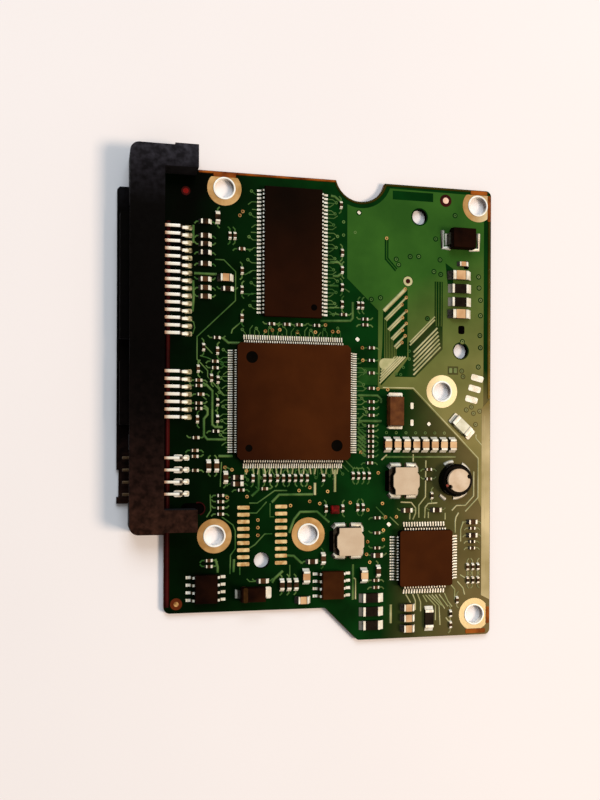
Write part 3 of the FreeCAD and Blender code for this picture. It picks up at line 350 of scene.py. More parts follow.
# Supply tracks carry the current of the chips and the motor. They are etched with the rest and twice as
# wide, and six of them leave the controller's right side in step.
SUPPLY_PITCH = 0.7
supply_steps = [SUPPLY_PITCH * line for line in range(6)]
lay_traces("supply_tracks", 0.5, [
    [(-15.6, 3.0), (-14.9, 2.6), (-14.0, 1.7), (-14.0, -4.0), (-13.5, -4.4), (-12.2, -4.4)],
    [(-15.4, -0.8), (-14.8, -1.3), (-14.8, -2.3), (-15.4, -3.0), (-15.4, -5.8), (-14.8, -6.5), (-11.6, -6.5)],
    [(-12.3, 10.7), (-11.3, 9.9), (-9.2, 9.9)], [(-17.1, 21.4), (-13.3, 21.4)],
    [(-12.9, -9.3), (-10.5, -9.3)], [(10.6, 17.7), (10.6, 14.9), (10.2, 14.4), (4.8, 14.2)],
    [(6.5, 24.5), (8.0, 24.5), (8.7, 23.9)], [(8.4, 22.5), (7.9, 22.1), (7.0, 22.1)],
    [(6.5, 20.4), (8.0, 20.4)], [(6.6, 36.0), (7.3, 35.9), (8.3, 35.1)],
    [(-3.7, -17.2), (-2.4, -15.9), (3.6, -15.9)], [(-6.0, -11.6), (-6.0, -15.0), (-7.2, -16.1)],
    [(-0.6, -22.5), (0.2, -20.2), (1.3, -18.9), (4.3, -18.9), (6.5, -20.8)],
    [(-1.0, -26.4), (0.2, -26.5), (1.6, -27.8)], [(-3.6, -31.0), (-3.2, -30.3), (-1.7, -29.0)],
    [(-13.4, -26.7), (-13.0, -28.0), (-13.0, -29.0)], [(-10.2, -26.8), (-10.3, -29.0)],
    [(-17.3, 29.5), (-17.3, 26.5)], [(-17.3, 20.2), (-17.2, 17.4), (-17.4, 15.0)],
    [(10.8, -28.2), (10.8, -34.4)], [(11.7, 1.4), (15.2, 1.4), (15.9, 0.8), (15.9, 0.1)],
    [(11.8, -3.1), (16.0, -3.1)],
] + [[(11.6, -4.4 - step), (13.1, -5.7 - step)] for step in supply_steps], track_mask)

# On the right a bus of like tracks leaves a row of vias aslant and turns down in step, with finer bundles
# beside it and one wide track above. They are etched in the gaps that the pour leaves for them.
BUS_VIAS = [(20.5, 18.9), (19.7, 17.6), (20.5, 16.5), (19.8, 15.3), (20.5, 14.3), (19.8, 13.1), (20.3, 12.1),
            (19.7, 10.9)]
FIRST_BEND, BEND_PITCH, RISER_PITCH = 16.5, 0.3, 0.48
# Painted light: the pale tone stands for light glancing off these tracks.
pale_mask = new_finish("mask_on_pale_tracks", (150, 150, 98), (200, 190, 142), 3.0, 0.38)
bus_bends = [(FIRST_BEND + BEND_PITCH * line, y - x + FIRST_BEND + BEND_PITCH * line)
             for line, (x, y) in enumerate(BUS_VIAS)]
lay_traces("bus_tracks", 0.38, [[via, bend] for via, bend in zip(BUS_VIAS, bus_bends)], pale_mask)
fine_bus = [[(20.4 - 0.48 * line, 8.4), (15.6 + 0.06 * line, 3.6 + 0.54 * line)] for line in range(5)]
fine_bus += [[(26.4 + 0.12 * line, 13.7 - 0.68 * line), (21.9, 9.2 - 0.8 * line)] for line in range(6)]
fine_bus += [[(25.9, 15.7 - 0.55 * line), (21.2, 11.0 - 0.55 * line)] for line in range(2)]
lay_traces("fine_bus_tracks", 0.34, fine_bus, pale_mask)
bus_risers = [[(x, y), (x, 8.0)] for x, y in bus_bends]
bus_risers += [[(26.15 + RISER_PITCH * line, 22.0), (26.15 + RISER_PITCH * line, 14.0)] for line in range(3)]
bus_risers.append([(16.8, 29.2), (16.8, 25.6), (18.6, 23.7)])
lay_traces("bus_riser_tracks", 0.22, bus_risers, pour_mask)
lay_traces("wide_bus_track", 0.8, [[(20.3, 20.4), (16.3, 16.4)]], pale_mask)
lay_pour("bus_patch", [[(18.7, 8.0), *arc_points(16.5, 7.0, 1.0, 90, 250, 8), (17.0, 6.2)]], pale_mask, RIDGE)

# Tracks of the motor driver leave its leads for the filter row, the far edge and the tail, and short stubs
# leave the controller's lower leads. They are etched like the rest, and the light makes them pale.
STUB_TOP, STUB_END, STUB_JOG = -11.3, -12.4, 0.35
lead_stubs = [[(lead, STUB_TOP), (lead + STUB_JOG * ((lead * 3) % 2 - 0.5), STUB_END)]
              for lead in range(-8, 9)]
lay_traces("driver_tracks", 0.3, [
    [(16.2, 2.85), (21.9, 2.85), (30.7, -5.9), (34.35, -9.6), (34.35, -16.7), (31.9, -19.2)],
    [(33.9, -5.3), (33.9, -6.0), (35.2, -7.4), (35.2, -9.0)], [(35.6, -1.9), (35.6, -33.8), (35.0, -34.3)],
    [(33.5, -12.0), (33.5, -16.4), (31.9, -18.1), (30.2, -18.1), (29.3, -19.0)],
    [(30.6, -19.4), (30.1, -20.2), (29.95, -21.0), (29.95, -23.0)],
    [(31.5, -21.0), (31.0, -22.5), (31.0, -24.6)],
    [(24.3, -10.0), (24.25, -16.5), (23.0, -18.0), (23.0, -20.2)], [(21.3, -19.2), (21.3, -20.5)],
    [(19.6, -17.4), (21.6, -17.5), (22.4, -18.5), (22.4, -19.4), (21.9, -20.5)],
    [(28.0, -19.4), (28.0, -20.6)],
    [(26.5, -17.6), (24.8, -17.7), (24.2, -18.4), (24.1, -20.3)], [(24.8, -19.2), (24.8, -20.3)],
    [(20.6, -33.8), (21.5, -35.3)], [(21.9, -33.8), (22.4, -35.0), (22.4, -36.6)],
    [(22.8, -33.8), (23.4, -35.3), (23.4, -36.9)], [(23.8, -34.0), (24.6, -35.3)],
    [(24.3, -34.0), (26.2, -36.0), (26.2, -38.6)], [(24.9, -34.0), (26.9, -36.0), (27.1, -39.5)],
    [(25.5, -34.0), (27.4, -36.0)], [(26.2, -34.0), (28.0, -36.6)], [(26.9, -34.0), (28.6, -36.2)],
    [(27.9, -33.8), (28.6, -35.3), (29.4, -36.3)], [(29.2, -32.4), (29.9, -33.2), (29.9, -35.0)],
    [(30.4, -31.8), (31.5, -33.0), (31.8, -34.2)], [(30.9, -30.6), (31.9, -31.2)],
    [(28.2, -38.2), (29.0, -39.2)], [(16.0, -9.9), (17.0, -9.0)], [(21.9, -8.9), (21.9, -10.2)],
    [(10.95, -30.6), (11.3, -30.8), (11.3, -34.3)],
] + lead_stubs, pale_mask)
lay_traces("pale_strips", 0.5, [[(17.8, -35.5), (17.8, -38.8)], [(3.9, -13.9), (3.9, -16.0)],
                                [(7.5, -11.6), (7.5, -15.5)]], pale_mask)
lay_traces("filter_track", 0.42, [[(16.6, -9.4), (30.0, -9.4)]], track_mask)

# Fan-out tracks leave the leads of the controller and the memory, a hair wide and each of its own length,
# and every third one ends at a small via that the mask covers.
SIDE, PITCH = 11.0, 0.8
MEMORY_Y, MEMORY_FIRST = 25.6, -9.75


def fan_out(side_x, side_y, way, first, pitch, count, reach):
    """Routes that leave a row of leads, and the ends of each third one."""
    routes = []
    for lead in range(count):
        start = first + lead * pitch
        run = reach * (0.45 + 0.2 * ((lead * 7) % 4))
        jog = 0.5 * ((lead * 5) % 3 - 1)
        points = [(start, 0.0), (start, run), (start + jog, run + abs(jog) + 0.15)]
        routes.append([(side_x + way[1] * along + way[0] * out, side_y + way[0] * along + way[1] * out)
                       for along, out in points])
    return routes, [route[-1] for route in routes[::3]]


fans = [
    fan_out(0.0, -SIDE, (0, -1), -8.4, PITCH, 22, 1.6), fan_out(0.0, SIDE, (0, 1), -8.4, PITCH, 22, 1.3),
    fan_out(-SIDE, 0.0, (-1, 0), -8.2, PITCH, 21, 1.1), fan_out(SIDE, 0.0, (1, 0), -8.2, PITCH, 21, 1.5),
    fan_out(-6.3, MEMORY_Y, (-1, 0), MEMORY_FIRST, 1.3, 16, 1.0),
    fan_out(5.9, MEMORY_Y, (1, 0), MEMORY_FIRST, 0.65, 31, 1.2),
]
lay_traces("fan_out_tracks", 0.2, [route for routes, _ in fans for route in routes], track_mask)

# Vias are drilled through the board and plated: a small ring with a dimple in it. Some are left bare and
# show their copper, the others lie under mask.
VIA_RISE, VIA_SINK = 0.07, 0.05
FILTER_FIRST, FILTER_PITCH, FILTER_VIA_Y = 16.9, 1.815, -5.1


def edit(piece, kind, test):
    """Enter edit mode on a piece with the elements of one kind that pass a test selected."""
    only(piece)
    bpy.ops.object.mode_set(mode="EDIT")
    bpy.ops.mesh.select_mode(type=kind)
    bpy.ops.mesh.select_all(action="DESELECT")
    shape = bmesh.from_edit_mesh(piece.data)
    for element in {"VERT": shape.verts, "EDGE": shape.edges, "FACE": shape.faces}[kind]:
        element.select_set(test(element))
    shape.select_flush_mode()
    bmesh.update_edit_mesh(piece.data)


def leave_edit():
    """Go back to object mode."""
    bpy.ops.object.mode_set(mode="OBJECT")


def join(pieces, name):
    """Join pieces into one with the given name."""
    only(pieces[0])
    for piece in pieces:
        piece.select_set(True)
    bpy.ops.object.join()
    pieces[0].name = pieces[0].data.name = name
    return pieces[0]


def spread(pattern, name, spots):
    """Copies of a pattern piece, turned and moved to each spot (place, angle), joined into one."""
    copies = []
    for place, angle in spots:
        copy = bpy.data.objects.new(name, pattern.data.copy())
        copy.data.transform(Matrix.Translation(place) @ Matrix.Rotation(angle, 4, "Z"))
        bpy.context.collection.objects.link(copy)
        copies.append(copy)
    bpy.data.objects.remove(pattern)
    return join(copies, name)


def on_board(x, y):
    """Place on the board's face, measured in millimetres from the controller's centre."""
    return origin + Vector((x, y, 0)) * MM


def spread_on_board(pattern, name, places):
    """Copies of a pattern piece, unturned, at places on the board's face."""
    return spread(pattern, name, [(on_board(x, y), 0.0) for x, y in places])


def new_disc(radius, rise, sides):
    """Upright disc that stands on the origin."""
    bpy.ops.object.select_all(action="DESELECT")
    bpy.ops.mesh.primitive_cylinder_add(vertices=sides, radius=radius * MM, depth=rise * MM,
                                        location=(0, 0, rise / 2 * MM))
    disc = bpy.context.object
    bpy.ops.object.transform_apply(location=True)
    return disc


def lay_vias(name, radius, places, finish):
    """Like plated vias at the given places, each with the middle of its top sunk."""
    via = new_disc(radius, VIA_RISE, 12)
    edit(via, "FACE", lambda face: face.normal.z > 0.9)
    bpy.ops.mesh.inset(thickness=radius / 2 * MM)
    bpy.ops.mesh.extrude_region_move(TRANSFORM_OT_translate={"value": (0, 0, -VIA_SINK * MM)})
    leave_edit()
    via.data.materials.append(finish)
    via.data.materials.append(mask)
    for face in via.data.polygons:
        face.material_index = int(face.normal.z > 0.9 and face.center.z < VIA_SINK * MM)
    lay(spread_on_board(via, name, places), None, "contact_metal")


via_copper = new_finish("via_copper", (124, 76, 34), (212, 164, 100), 1.2, 0.4, metallic=0.3, gloss=0.3)
lay_vias("gold_vias", 0.3, BUS_VIAS + [
    (1.1, -15.2), (3.0, -14.7), (3.0, -17.1), (4.8, -17.5), (6.2, -15.4), (10.3, -17.4), (13.5, -18.7),
    (16.2, -17.6), (16.8, -20.0), (18.8, -20.0), (16.4, -22.3), (16.4, -24.0), (13.5, -24.3), (13.3, -26.5),
    (13.9, -27.9), (12.4, 9.75), (12.5, 7.55), (15.3, 2.6), (17.1, 2.5), (12.2, -8.6), (15.4, -12.2),
    (-4.9, 12.1), (-3.7, 12.3), (-2.4, 12.4), (0.7, 12.1), (3.9, 12.2), (5.7, 13.5), (7.0, 12.4), (8.0, 12.4),
    (-8.9, 32.3), (-9.4, 31.6), (-9.1, 25.9), (-11.8, -11.2), (-10.6, -11.6), (-8.1, -11.8), (-11.4, -16.3),
    (-8.0, -16.2), (-6.1, -20.2), (-6.1, -21.5), (-6.1, -22.8), (-0.4, -17.8), (20.3, 20.4), (16.8, 29.2),
], via_copper)
fan_ends = [end for _, ends in fans for end in ends]
filter_vias = [(FILTER_FIRST + FILTER_PITCH * place, FILTER_VIA_Y) for place in range(7)]
lay_vias("covered_vias", 0.28, DARK_VIAS + fan_ends + [
    (21.1, 9.4), (21.1, 8.0), (20.0, 6.5), (18.7, 5.3), (19.5, 5.2), (11.0, 29.9), (8.9, 29.3), (8.9, 31.6),
] + filter_vias, track_mask)

# Six lands take the drive's screws: a broad gold ring on the face and a plated barrel through the board
# with a bright flared rim. Lands near an edge are trimmed square to it.
BORE_RADIUS, RIM_RADIUS = 1.65, 1.9
LAND_RISE, RIM_LOW, RIM_HIGH = 0.06, 0.05, 0.16
RIM_LAP, PLATING = 0.03, 0.05
BARREL_LOW, BARREL_HIGH = -0.95, 0.08
SCREWS = [
    (-12.05, 36.0, [((0, 37.9), (0, 1))]), (*TOP_RIGHT_SCREW, [((0, 37.95), (0, 1)), ((36.0, 0), (1, 0))]),
    (-13.55, -22.8, []), (2.75, -22.8, []), (*MIDDLE_SCREW, []),
    (33.65, -37.8, [((35.9, 0), (1, 0)), ((0, -40.3), (0, -1))]),
]


def new_ring(outer, inner, low, high, sides=64):
    """Flat ring about the upright axis between two heights."""
    ring = new_disc(outer, high - low, sides)
    edit(ring, "FACE", lambda face: abs(face.normal.z) > 0.9)
    bpy.ops.mesh.inset(thickness=(outer - inner) * MM)
    bpy.ops.mesh.bridge_edge_loops()
    leave_edit()
    ring.location.z = low * MM
    bpy.ops.object.transform_apply(location=True)
    return ring


def soften(piece, width, segments=2, angle=35):
    """Round a piece's edges with an applied bevel, its flat faces kept flat to the light."""
    only(piece)
    bevel = piece.modifiers.new("edges", "BEVEL")
    bevel.width = width * MM
    bevel.segments = segments
    bevel.limit_method = "ANGLE"
    bevel.angle_limit = math.radians(angle)
    bpy.ops.object.modifier_apply(modifier=bevel.name)
    bpy.ops.object.shade_smooth_by_angle(angle=math.radians(angle + 10))
    shading = piece.modifiers.new("shading", "WEIGHTED_NORMAL")
    shading.keep_sharp = True
    bpy.ops.object.modifier_apply(modifier=shading.name)


def shade_leaning(finish, way, start, end, *tones):
    """Give other tones to the faces of a finish that lean towards a way."""
    facing = add_node(finish, "ShaderNodeNewGeometry").outputs["True Normal"]
    overlay(finish, share_towards(finish, facing, way, start, end), wander(finish, *tones))


gold = new_finish("gold_plating", (172, 126, 70), (204, 158, 100), 2.0, 0.35, metallic=0.3, gloss=0.4)
# Painted highlight: lands towards the far side are paled to cream where the lamp's light glances off them.
painted_highlight_gold = add_ramp(gold, share_along(gold, (0.7, -0.25, 0), 16, 34), [
    (0.1, (250, 232, 182)), (0.5, (240, 212, 156)), (1.0, (184, 164, 120))])
overlay(gold, share_along(gold, (0.7, -0.25, 0), 14.5, 18), painted_highlight_gold)
lands = []
for x, y, trims in SCREWS:
    land = spread_on_board(new_ring(LAND_RADIUS, BORE_RADIUS, 0.0, LAND_RISE), "land", [(x, y)])
    for (trim_x, trim_y), (way_x, way_y) in trims:
        edit(land, "FACE", lambda face: True)
        bpy.ops.mesh.bisect(plane_co=on_board(trim_x, trim_y), plane_no=(way_x, way_y, 0), use_fill=True,
                            clear_outer=True)
        leave_edit()
    lands.append(land)
lay(join(lands, "screw_lands"), gold, "contact_metal")
barrel_tin = new_finish("barrel_plating", (244, 236, 220), (254, 252, 246), 1.1, 0.3, metallic=0.1, gloss=0.5)
# Painted shade: faces leaning away from the lamps, such as the far inner wall of each barrel, are darkened.
shade_leaning(barrel_tin, (-0.9, -0.4, 0), 0.3, 0.9, (70, 64, 66), (124, 116, 118), 1.1)
rim = new_ring(RIM_RADIUS, BORE_RADIUS - RIM_LAP, RIM_LOW, RIM_HIGH)
soften(rim, 0.1, 3)
wall = new_ring(BORE_RADIUS, BORE_RADIUS - PLATING, BARREL_LOW, BARREL_HIGH)
barrel = join([rim, wall], "barrel")
lay(spread_on_board(barrel, "screw_barrels", [(x, y) for x, y, _ in SCREWS]), barrel_tin, "cap_metal")

# Bare pads are copper left free of mask: gold ones that the heads' flex circuit presses on, and tinned
# ones for the spindle motor and for parts that aren't fitted. At lands and aiming marks laminate shows.
HEAD_PAD, HEAD_PITCH, HEAD_ROWS = (2.1, 0.62, 0), 1.205, ((-8.6, -18.05), (-2.05, -17.95))
MOTOR_PAD = (2.4, 1.1, -14)
CORNER_SHARE = 0.25


def new_block(low, high):
    """Block between two corners, in millimetres."""
    bpy.ops.object.select_all(action="DESELECT")
    middle = [(a + b) / 2 * MM for a, b in zip(low, high)]
    bpy.ops.mesh.primitive_cube_add(size=MM, location=middle, scale=[b - a for a, b in zip(low, high)])
    block = bpy.context.object
    bpy.ops.object.transform_apply(location=True, scale=True)
    return block


def lay_pads(name, pads, finish, slot, rise=0.08):
    """Flat pads with rounded corners, each a place, its two lengths and its turn in degrees."""
    made = []
    for x, y, length, width, turn in pads:
        pad = new_block((-length / 2, -width / 2, 0), (length / 2, width / 2, rise))
        edit(pad, "EDGE", lambda edge: abs(edge.verts[0].co.z - edge.verts[1].co.z) > rise / 2 * MM)
        bpy.ops.mesh.bevel(offset=CORNER_SHARE * min(length, width) * MM, segments=2)
        leave_edit()
        made.append(spread(pad, name, [(on_board(x, y), math.radians(turn))]))
    lay(join(made, name), finish, slot)


head_gold = new_finish("head_pad_gold", (190, 142, 84), (238, 208, 150), 0.9, 0.35, metallic=0.3, gloss=0.4)
lay_pads("head_pads", [(x, y - HEAD_PITCH * row, *HEAD_PAD) for x, y in HEAD_ROWS for row in range(9)],
         head_gold, "contact_metal")
tin = new_finish("tinned_plating", (226, 212, 186), (252, 246, 230), 1.1, 0.3, metallic=0.15, gloss=0.6,
                 relief=(0.25, 0.02))
# Painted shade: the tin's steep sides are darkened.
shade_steep(tin, 0.5, (76, 66, 54), (120, 106, 90), 0.8)
# Painted shade: faces leaning to the left, away from the warm lamp, are nearly black.
shade_leaning(tin, (-1, 0, 0), 0.15, 0.5, (16, 13, 13), (66, 60, 58), 0.5)
lay_pads("motor_pads", [(x, y, *MOTOR_PAD) for x, y in ((34.1, 4.85), (33.6, 2.95), (33.0, 1.0))], tin,
         "cap_metal")
lay_pads("spare_pads", [(21.65, -0.3, 0.55, 1.1, 0), (21.65, -3.3, 0.55, 1.1, 0), (24.85, -3.5, 0.6, 0.6, 45),
                        (11.5, 11.2, 0.6, 0.7, 45), (17.4, -21.3, 0.6, 0.7, 45), (*TOP_PAD, 0.5, 0.6, 45)],
         tin, "cap_metal")
lay_pads("masked_pads", [(28.95, 6.15, 0.6, 0.9, 0), (29.85, 6.15, 0.6, 0.9, 0)], track_mask, "solder_mask")
lay_pads("land_patches", [(-12.0, 38.3, 3.8, 0.8, 0), (34.3, 38.35, 3.2, 0.7, 0), (33.9, -40.8, 3.8, 0.8, 0),
                          (36.25, -38.0, 0.6, 3.0, 0), (36.3, 35.6, 0.6, 4.6, 0)],
         bare_laminate, "solder_mask", 0.1)
aiming_copper = new_finish("aiming_copper", (226, 172, 142), (250, 214, 188), 2.0, 0.4, metallic=0.3)
# Painted shade: the mark by the connector's upper arm lies in deep shade, so its copper is painted dark red.
painted_shade_aiming_copper = new_finish("painted_shade_aiming_copper", (96, 8, 10), (150, 20, 18), 1.0, 0.5)
brown_laminate = new_finish("mask_on_brown_laminate", (62, 20, 8), (104, 42, 14), 3.0, 0.5)
AIMING_MARKS = [
    ((27.9, 36.56), 1.1, red_laminate, 0.55, aiming_copper),
    ((-19.94, -34.1), 1.0, brown_laminate, 0.42, via_copper),
    ((-18.56, 35.15), 0.75, red_laminate, 0.45, painted_shade_aiming_copper),
    (BUS_MARK, 0.85, pale_mask, 0.42, red_laminate),
]
for number, (spot, ring_radius, ring, dot_radius, dot) in enumerate(AIMING_MARKS):
    ground = spread_on_board(new_disc(ring_radius, 0.06, 28), f"aiming_ring_{number}", [spot])
    lay(ground, ring, "solder_mask")
    target = spread_on_board(new_disc(dot_radius, 0.09, 20), f"aiming_dot_{number}", [spot])
    lay(target, dot, "contact_metal")

# The drive connector's housing is moulded in black glass-filled plastic, its edges a little rounded by the
# mould. Handling has left brown dust on the lower half of its top, the upper end has a painted grey sheen,
# and painted light makes its upright faces a little paler.
GRAIN_WIDTH, GRAIN_DETAIL = 1.0, 10.0


def weld(piece):
    """Merge the doubled corners of a piece and dissolve the edges inside its flat faces."""
    edit(piece, "FACE", lambda face: True)
    bpy.ops.mesh.remove_doubles(threshold=0.001 * MM)
    bpy.ops.mesh.dissolve_limited(angle_limit=math.radians(1))
    bpy.ops.mesh.normals_make_consistent()
    leave_edit()


def moulded(node, width, name):
    """Copy of a node's solids with its edges rounded this wide, as a mould or press leaves them."""
    piece = bpy.data.objects.new(name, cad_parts[node].data.copy())
    bpy.context.collection.objects.link(piece)
    weld(piece)
    soften(piece, width, angle=25)
    return piece


housing_plastic = new_finish("housing_plastic", (0, 0, 1), (3, 2, 3), 4.0, 0.55, gloss=0.03,
                             relief=(0.3, 0.03))
# Brown dust towards the lower end; a painted grey sheen on the upper end.
dust_and_sheen_tone = add_ramp(housing_plastic, share_along(housing_plastic, (0, 1, 0), -22.0, 41.6), [
    (0.0, (64, 38, 28)), (0.12, (44, 26, 21)), (0.3, (14, 8, 8)), (0.45, (3, 2, 3)), (0.84, (4, 4, 5)),
    (0.93, (34, 32, 37)), (1.0, (64, 62, 70))])
dust_and_sheen_share = add_ramp(housing_plastic, add_noise(housing_plastic, GRAIN_WIDTH, GRAIN_DETAIL), [
    (0.35, (128, 128, 128)), (0.7, (240, 240, 240))])
overlay(housing_plastic, dust_and_sheen_share, dust_and_sheen_tone)
# Painted light: upright faces a little paler than the black, so they read in shade.
shade_steep(housing_plastic, 0.3, (30, 28, 29), (40, 37, 38), 2.0)
lay(moulded("connector_housing", 0.18, "housing_moulding"), housing_plastic, "connector_plastic",
    "connector_housing")

# A rib under the housing's lower arm sits in the slot that is milled for it in the board. The slot's
# rounded end shows as a dark gap with a bare red edge. Three locating holes have a ring of painted shade
# inside, and two patches of painted shadow lie black on the far side.
SLOT_Y, SLOT_LEFT, SLOT_RIGHT, SLOT_RADIUS = -18.15, -18.25, -16.25, 0.95
SLOT_PLAY, SLOT_EDGE = 0.01, 0.1
RIB_RISE, RIB_LOW = 0.3, -0.45
PAIR_LOCATING = (-5.4, -27.1)
HOLE_SHADE_OUTER, HOLE_SHADE_INNER, HOLE_SHADE_LOW = 1.39, 1.34, -0.98
# Black for the rib and the memory's ejector mark, and for painted shade and shadows.
black_and_painted_shade = new_finish("black_plastic_and_painted_shade", (0, 0, 0), (4, 2, 2), 3.0, 0.8, gloss=0.02)
slot_outline = arc_points(SLOT_RIGHT, SLOT_Y, SLOT_RADIUS - SLOT_PLAY, -90, 90, 12)
slot_outline += arc_points(SLOT_LEFT, SLOT_Y, SLOT_RADIUS - SLOT_PLAY, 90, 270, 12)
lay_pour("slot_rib", [slot_outline], black_and_painted_shade, RIB_RISE, "connector_plastic", RIB_LOW)
lay_traces("slot_edge", 0.3, [arc_points(SLOT_RIGHT, SLOT_Y, SLOT_RADIUS + SLOT_EDGE, -75, 110, 14)],
           red_laminate)
# Painted shadows: two black patches on the board at the far side.
lay_pads("painted_shadow_patches", [(31.0, 13.5, 1.2, 1.5, 0), (31.9, 25.2, 0.9, 1.5, 0)], black_and_painted_shade, "solder_mask",
         0.05)
# Painted shade: a black ring inside the wall of each locating hole.
hole_shade_ring = new_ring(HOLE_SHADE_OUTER, HOLE_SHADE_INNER, HOLE_SHADE_LOW, 0.0, 40)
lay(spread_on_board(hole_shade_ring, "locating_hole_painted_shade", LOCATING + [PAIR_LOCATING]), black_and_painted_shade, "solder_mask")

# The contacts are stamped from copper alloy. Each tail leaves the housing bare, is tinned further out,
# bends down and ends in a soldered foot. The jumper posts end in thick pads of solder.
STRIP_SHARE = 0.78
FOOT_PAD, POST_SOLDER, TOE_SOLDER = (1.3, 0.8, 0), (1.5, 1.1, 0), (0.9, 0.9, 0)
contact_metal = new_finish("contact_metal", (232, 220, 196), (252, 246, 230), 0.8, 0.32, metallic=0.15,
                           gloss=0.6, relief=(0.25, 0.02))
# Painted shade: dark bronze inside the housing, and a painted shadow in a dark band at each bend.
plating = add_ramp(contact_metal, share_along(contact_metal, (1, 0, 0), -28.0, -18.0), [
    (0.0, (70, 48, 28)), (0.54, (112, 80, 50)), (0.6, (190, 138, 106)), (0.66, (248, 236, 212)),
    (0.83, (254, 249, 236)), (0.85, (44, 28, 16)), (0.88, (50, 34, 20)), (0.9, (250, 242, 222)),
    (0.96, (252, 246, 230)), (1.0, (176, 156, 110))])
feed(contact_metal, "Base Color", plating)
# Painted shade: darker steep sides on the strips.
shade_steep(contact_metal, 0.8, (40, 24, 16), (84, 58, 38), 0.6)


def solid_boxes(node):
    """Lowest and highest corner of each separate solid of a node."""
    group = bpy.data.objects.new(node + "_split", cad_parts[node].data.copy())
    bpy.context.collection.objects.link(group)
    edit(group, "FACE", lambda face: True)
    bpy.ops.mesh.remove_doubles(threshold=0.001 * MM)
    bpy.ops.mesh.separate(type="LOOSE")
    leave_edit()
    boxes = []
    for piece in list(bpy.context.selected_objects):
        corners = [vertex.co for vertex in piece.data.vertices]
        boxes.append((Vector([min(axis) for axis in zip(*corners)]),
                      Vector([max(axis) for axis in zip(*corners)])))
        bpy.data.objects.remove(piece)
    return boxes


strip_feet, post_feet = [], []
for node in ("power_strips", "signal_strips", "jumper_posts"):
    strips = moulded(node, 0.12, node + "_stamped")
    feet = post_feet if node == "jumper_posts" else strip_feet
    for low, high in solid_boxes(node):
        if feet is strip_feet:
            edit(strips, "VERT", lambda vertex: low.y <= vertex.co.y <= high.y)
            bpy.ops.transform.resize(value=(1, STRIP_SHARE, 1), center_override=(low + high) / 2)
            leave_edit()
        feet.append(((high.x - origin.x) / MM, ((low.y + high.y) / 2 - origin.y) / MM))
    lay(strips, contact_metal, "contact_metal", node)
foot_solder = new_finish("foot_solder", (70, 58, 34), (190, 174, 132), 0.5, 0.4, metallic=0.15)
lay_pads("foot_pads", [(x - 0.1, y, *FOOT_PAD) for x, y in strip_feet], foot_solder, "cap_metal", 0.06)
lay_pads("jumper_solder", [(x - 1.7, y, *POST_SOLDER) for x, y in post_feet]
         + [(x - 0.3, y, *TOE_SOLDER) for x, y in post_feet], tin, "cap_metal", 0.3)

# Chips are moulded in dark epoxy round a lead frame: a block with a fine matt skin. The mould's ejector
# pins leave round black marks on the controller and the memory, and the rectifier has a printed band.
MATT_SKIN = (0.12, 0.02)
MARK_RADIUS, MARK_RISE, MARK_PLACE = 0.55, 0.02, (3.4, 16.3)
BAND_WIDTH, BAND_MIDDLE, BAND_MARGIN = 0.75, 0.75, 0.12
epoxy = new_finish("chip_epoxy", (28, 7, 3), (38, 12, 4), 6.0, 0.6, gloss=0.025, relief=MATT_SKIN)
# Painted light: paler brown towards the right.
shade_along(epoxy, (0.9, 0.3, 0), -14, 1, (58, 25, 7), (68, 31, 9), 6.0)
controller_rise = (controller_high.z - board_face) / MM
# Below the controller's top height the epoxy turns near black: its sunk ejector marks, and painted shade on
# the chips' sides.
shade_along(epoxy, (0, 0, -1), 0.01 - controller_rise, -1.45, (1, 1, 1), (5, 3, 2), 1.0)
dark_epoxy = new_finish("dark_chip_epoxy", (12, 3, 2), (27, 9, 4), 3.0, 0.6, gloss=0.025, relief=MATT_SKIN)
# Painted light: paler brown towards the lower right.
shade_along(dark_epoxy, (0.5, -0.87, 0), 25, 30, (54, 25, 8), (66, 33, 11), 3.0)
memory_epoxy = new_finish("memory_epoxy", (11, 4, 2), (19, 7, 3), 8.0, 0.6, gloss=0.025, relief=MATT_SKIN)
# Painted light: paler towards the lower side.
shade_along(memory_epoxy, (0.3, -1, 0), -33, -18, (32, 11, 4), (40, 15, 5), 8.0)
for node in ("controller_body", "driver_body"):
    lay(moulded(node, 0.06, node + "_moulding"), epoxy, "chip_moulding", node)
lay(moulded("memory_body", 0.08, "memory_moulding"), memory_epoxy, "chip_moulding", "memory_body")
for node in ("switch_bodies", "clamp_body", "rectifier_body"):
    lay(moulded(node, 0.08, node + "_moulding"), dark_epoxy, "chip_moulding", node)
memory_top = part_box("memory_body")[1].z - MARK_RISE / 2 * MM
mark_spot = Vector((*on_board(*MARK_PLACE).xy, memory_top))
memory_mark = spread(new_disc(MARK_RADIUS, MARK_RISE, 24), "memory_mark", [(mark_spot, 0.0)])
lay(memory_mark, black_and_painted_shade, "chip_moulding")
band_print = new_finish("band_print", (40, 23, 7), (58, 35, 13), 0.8, 0.6, gloss=0.03)
rectifier_low, rectifier_high = [(corner - origin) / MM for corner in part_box("rectifier_body")]
band_y = (rectifier_low.y + rectifier_high.y) / 2
band_length = rectifier_high.y - rectifier_low.y - BAND_MARGIN
lay_pads("rectifier_band", [(rectifier_low.x + BAND_MIDDLE, band_y, BAND_WIDTH, band_length, 0)], band_print,
         "chip_moulding", rectifier_high.z + 0.02)

# Gull-wing leads are formed from the tinned lead frame: a short shoulder out of the body, a steep bend
# painted dark as shade, and a flat foot, soldered to a pad that reaches past its toe.
SHOULDER, BEND = 0.32, 0.26
LEAD_THICKNESS = 0.14
FOOT_LIFT = 0.03
PAD_REACH, PAD_SPREAD, PAD_HEIGHT = 0.35, 0.58, 0.06


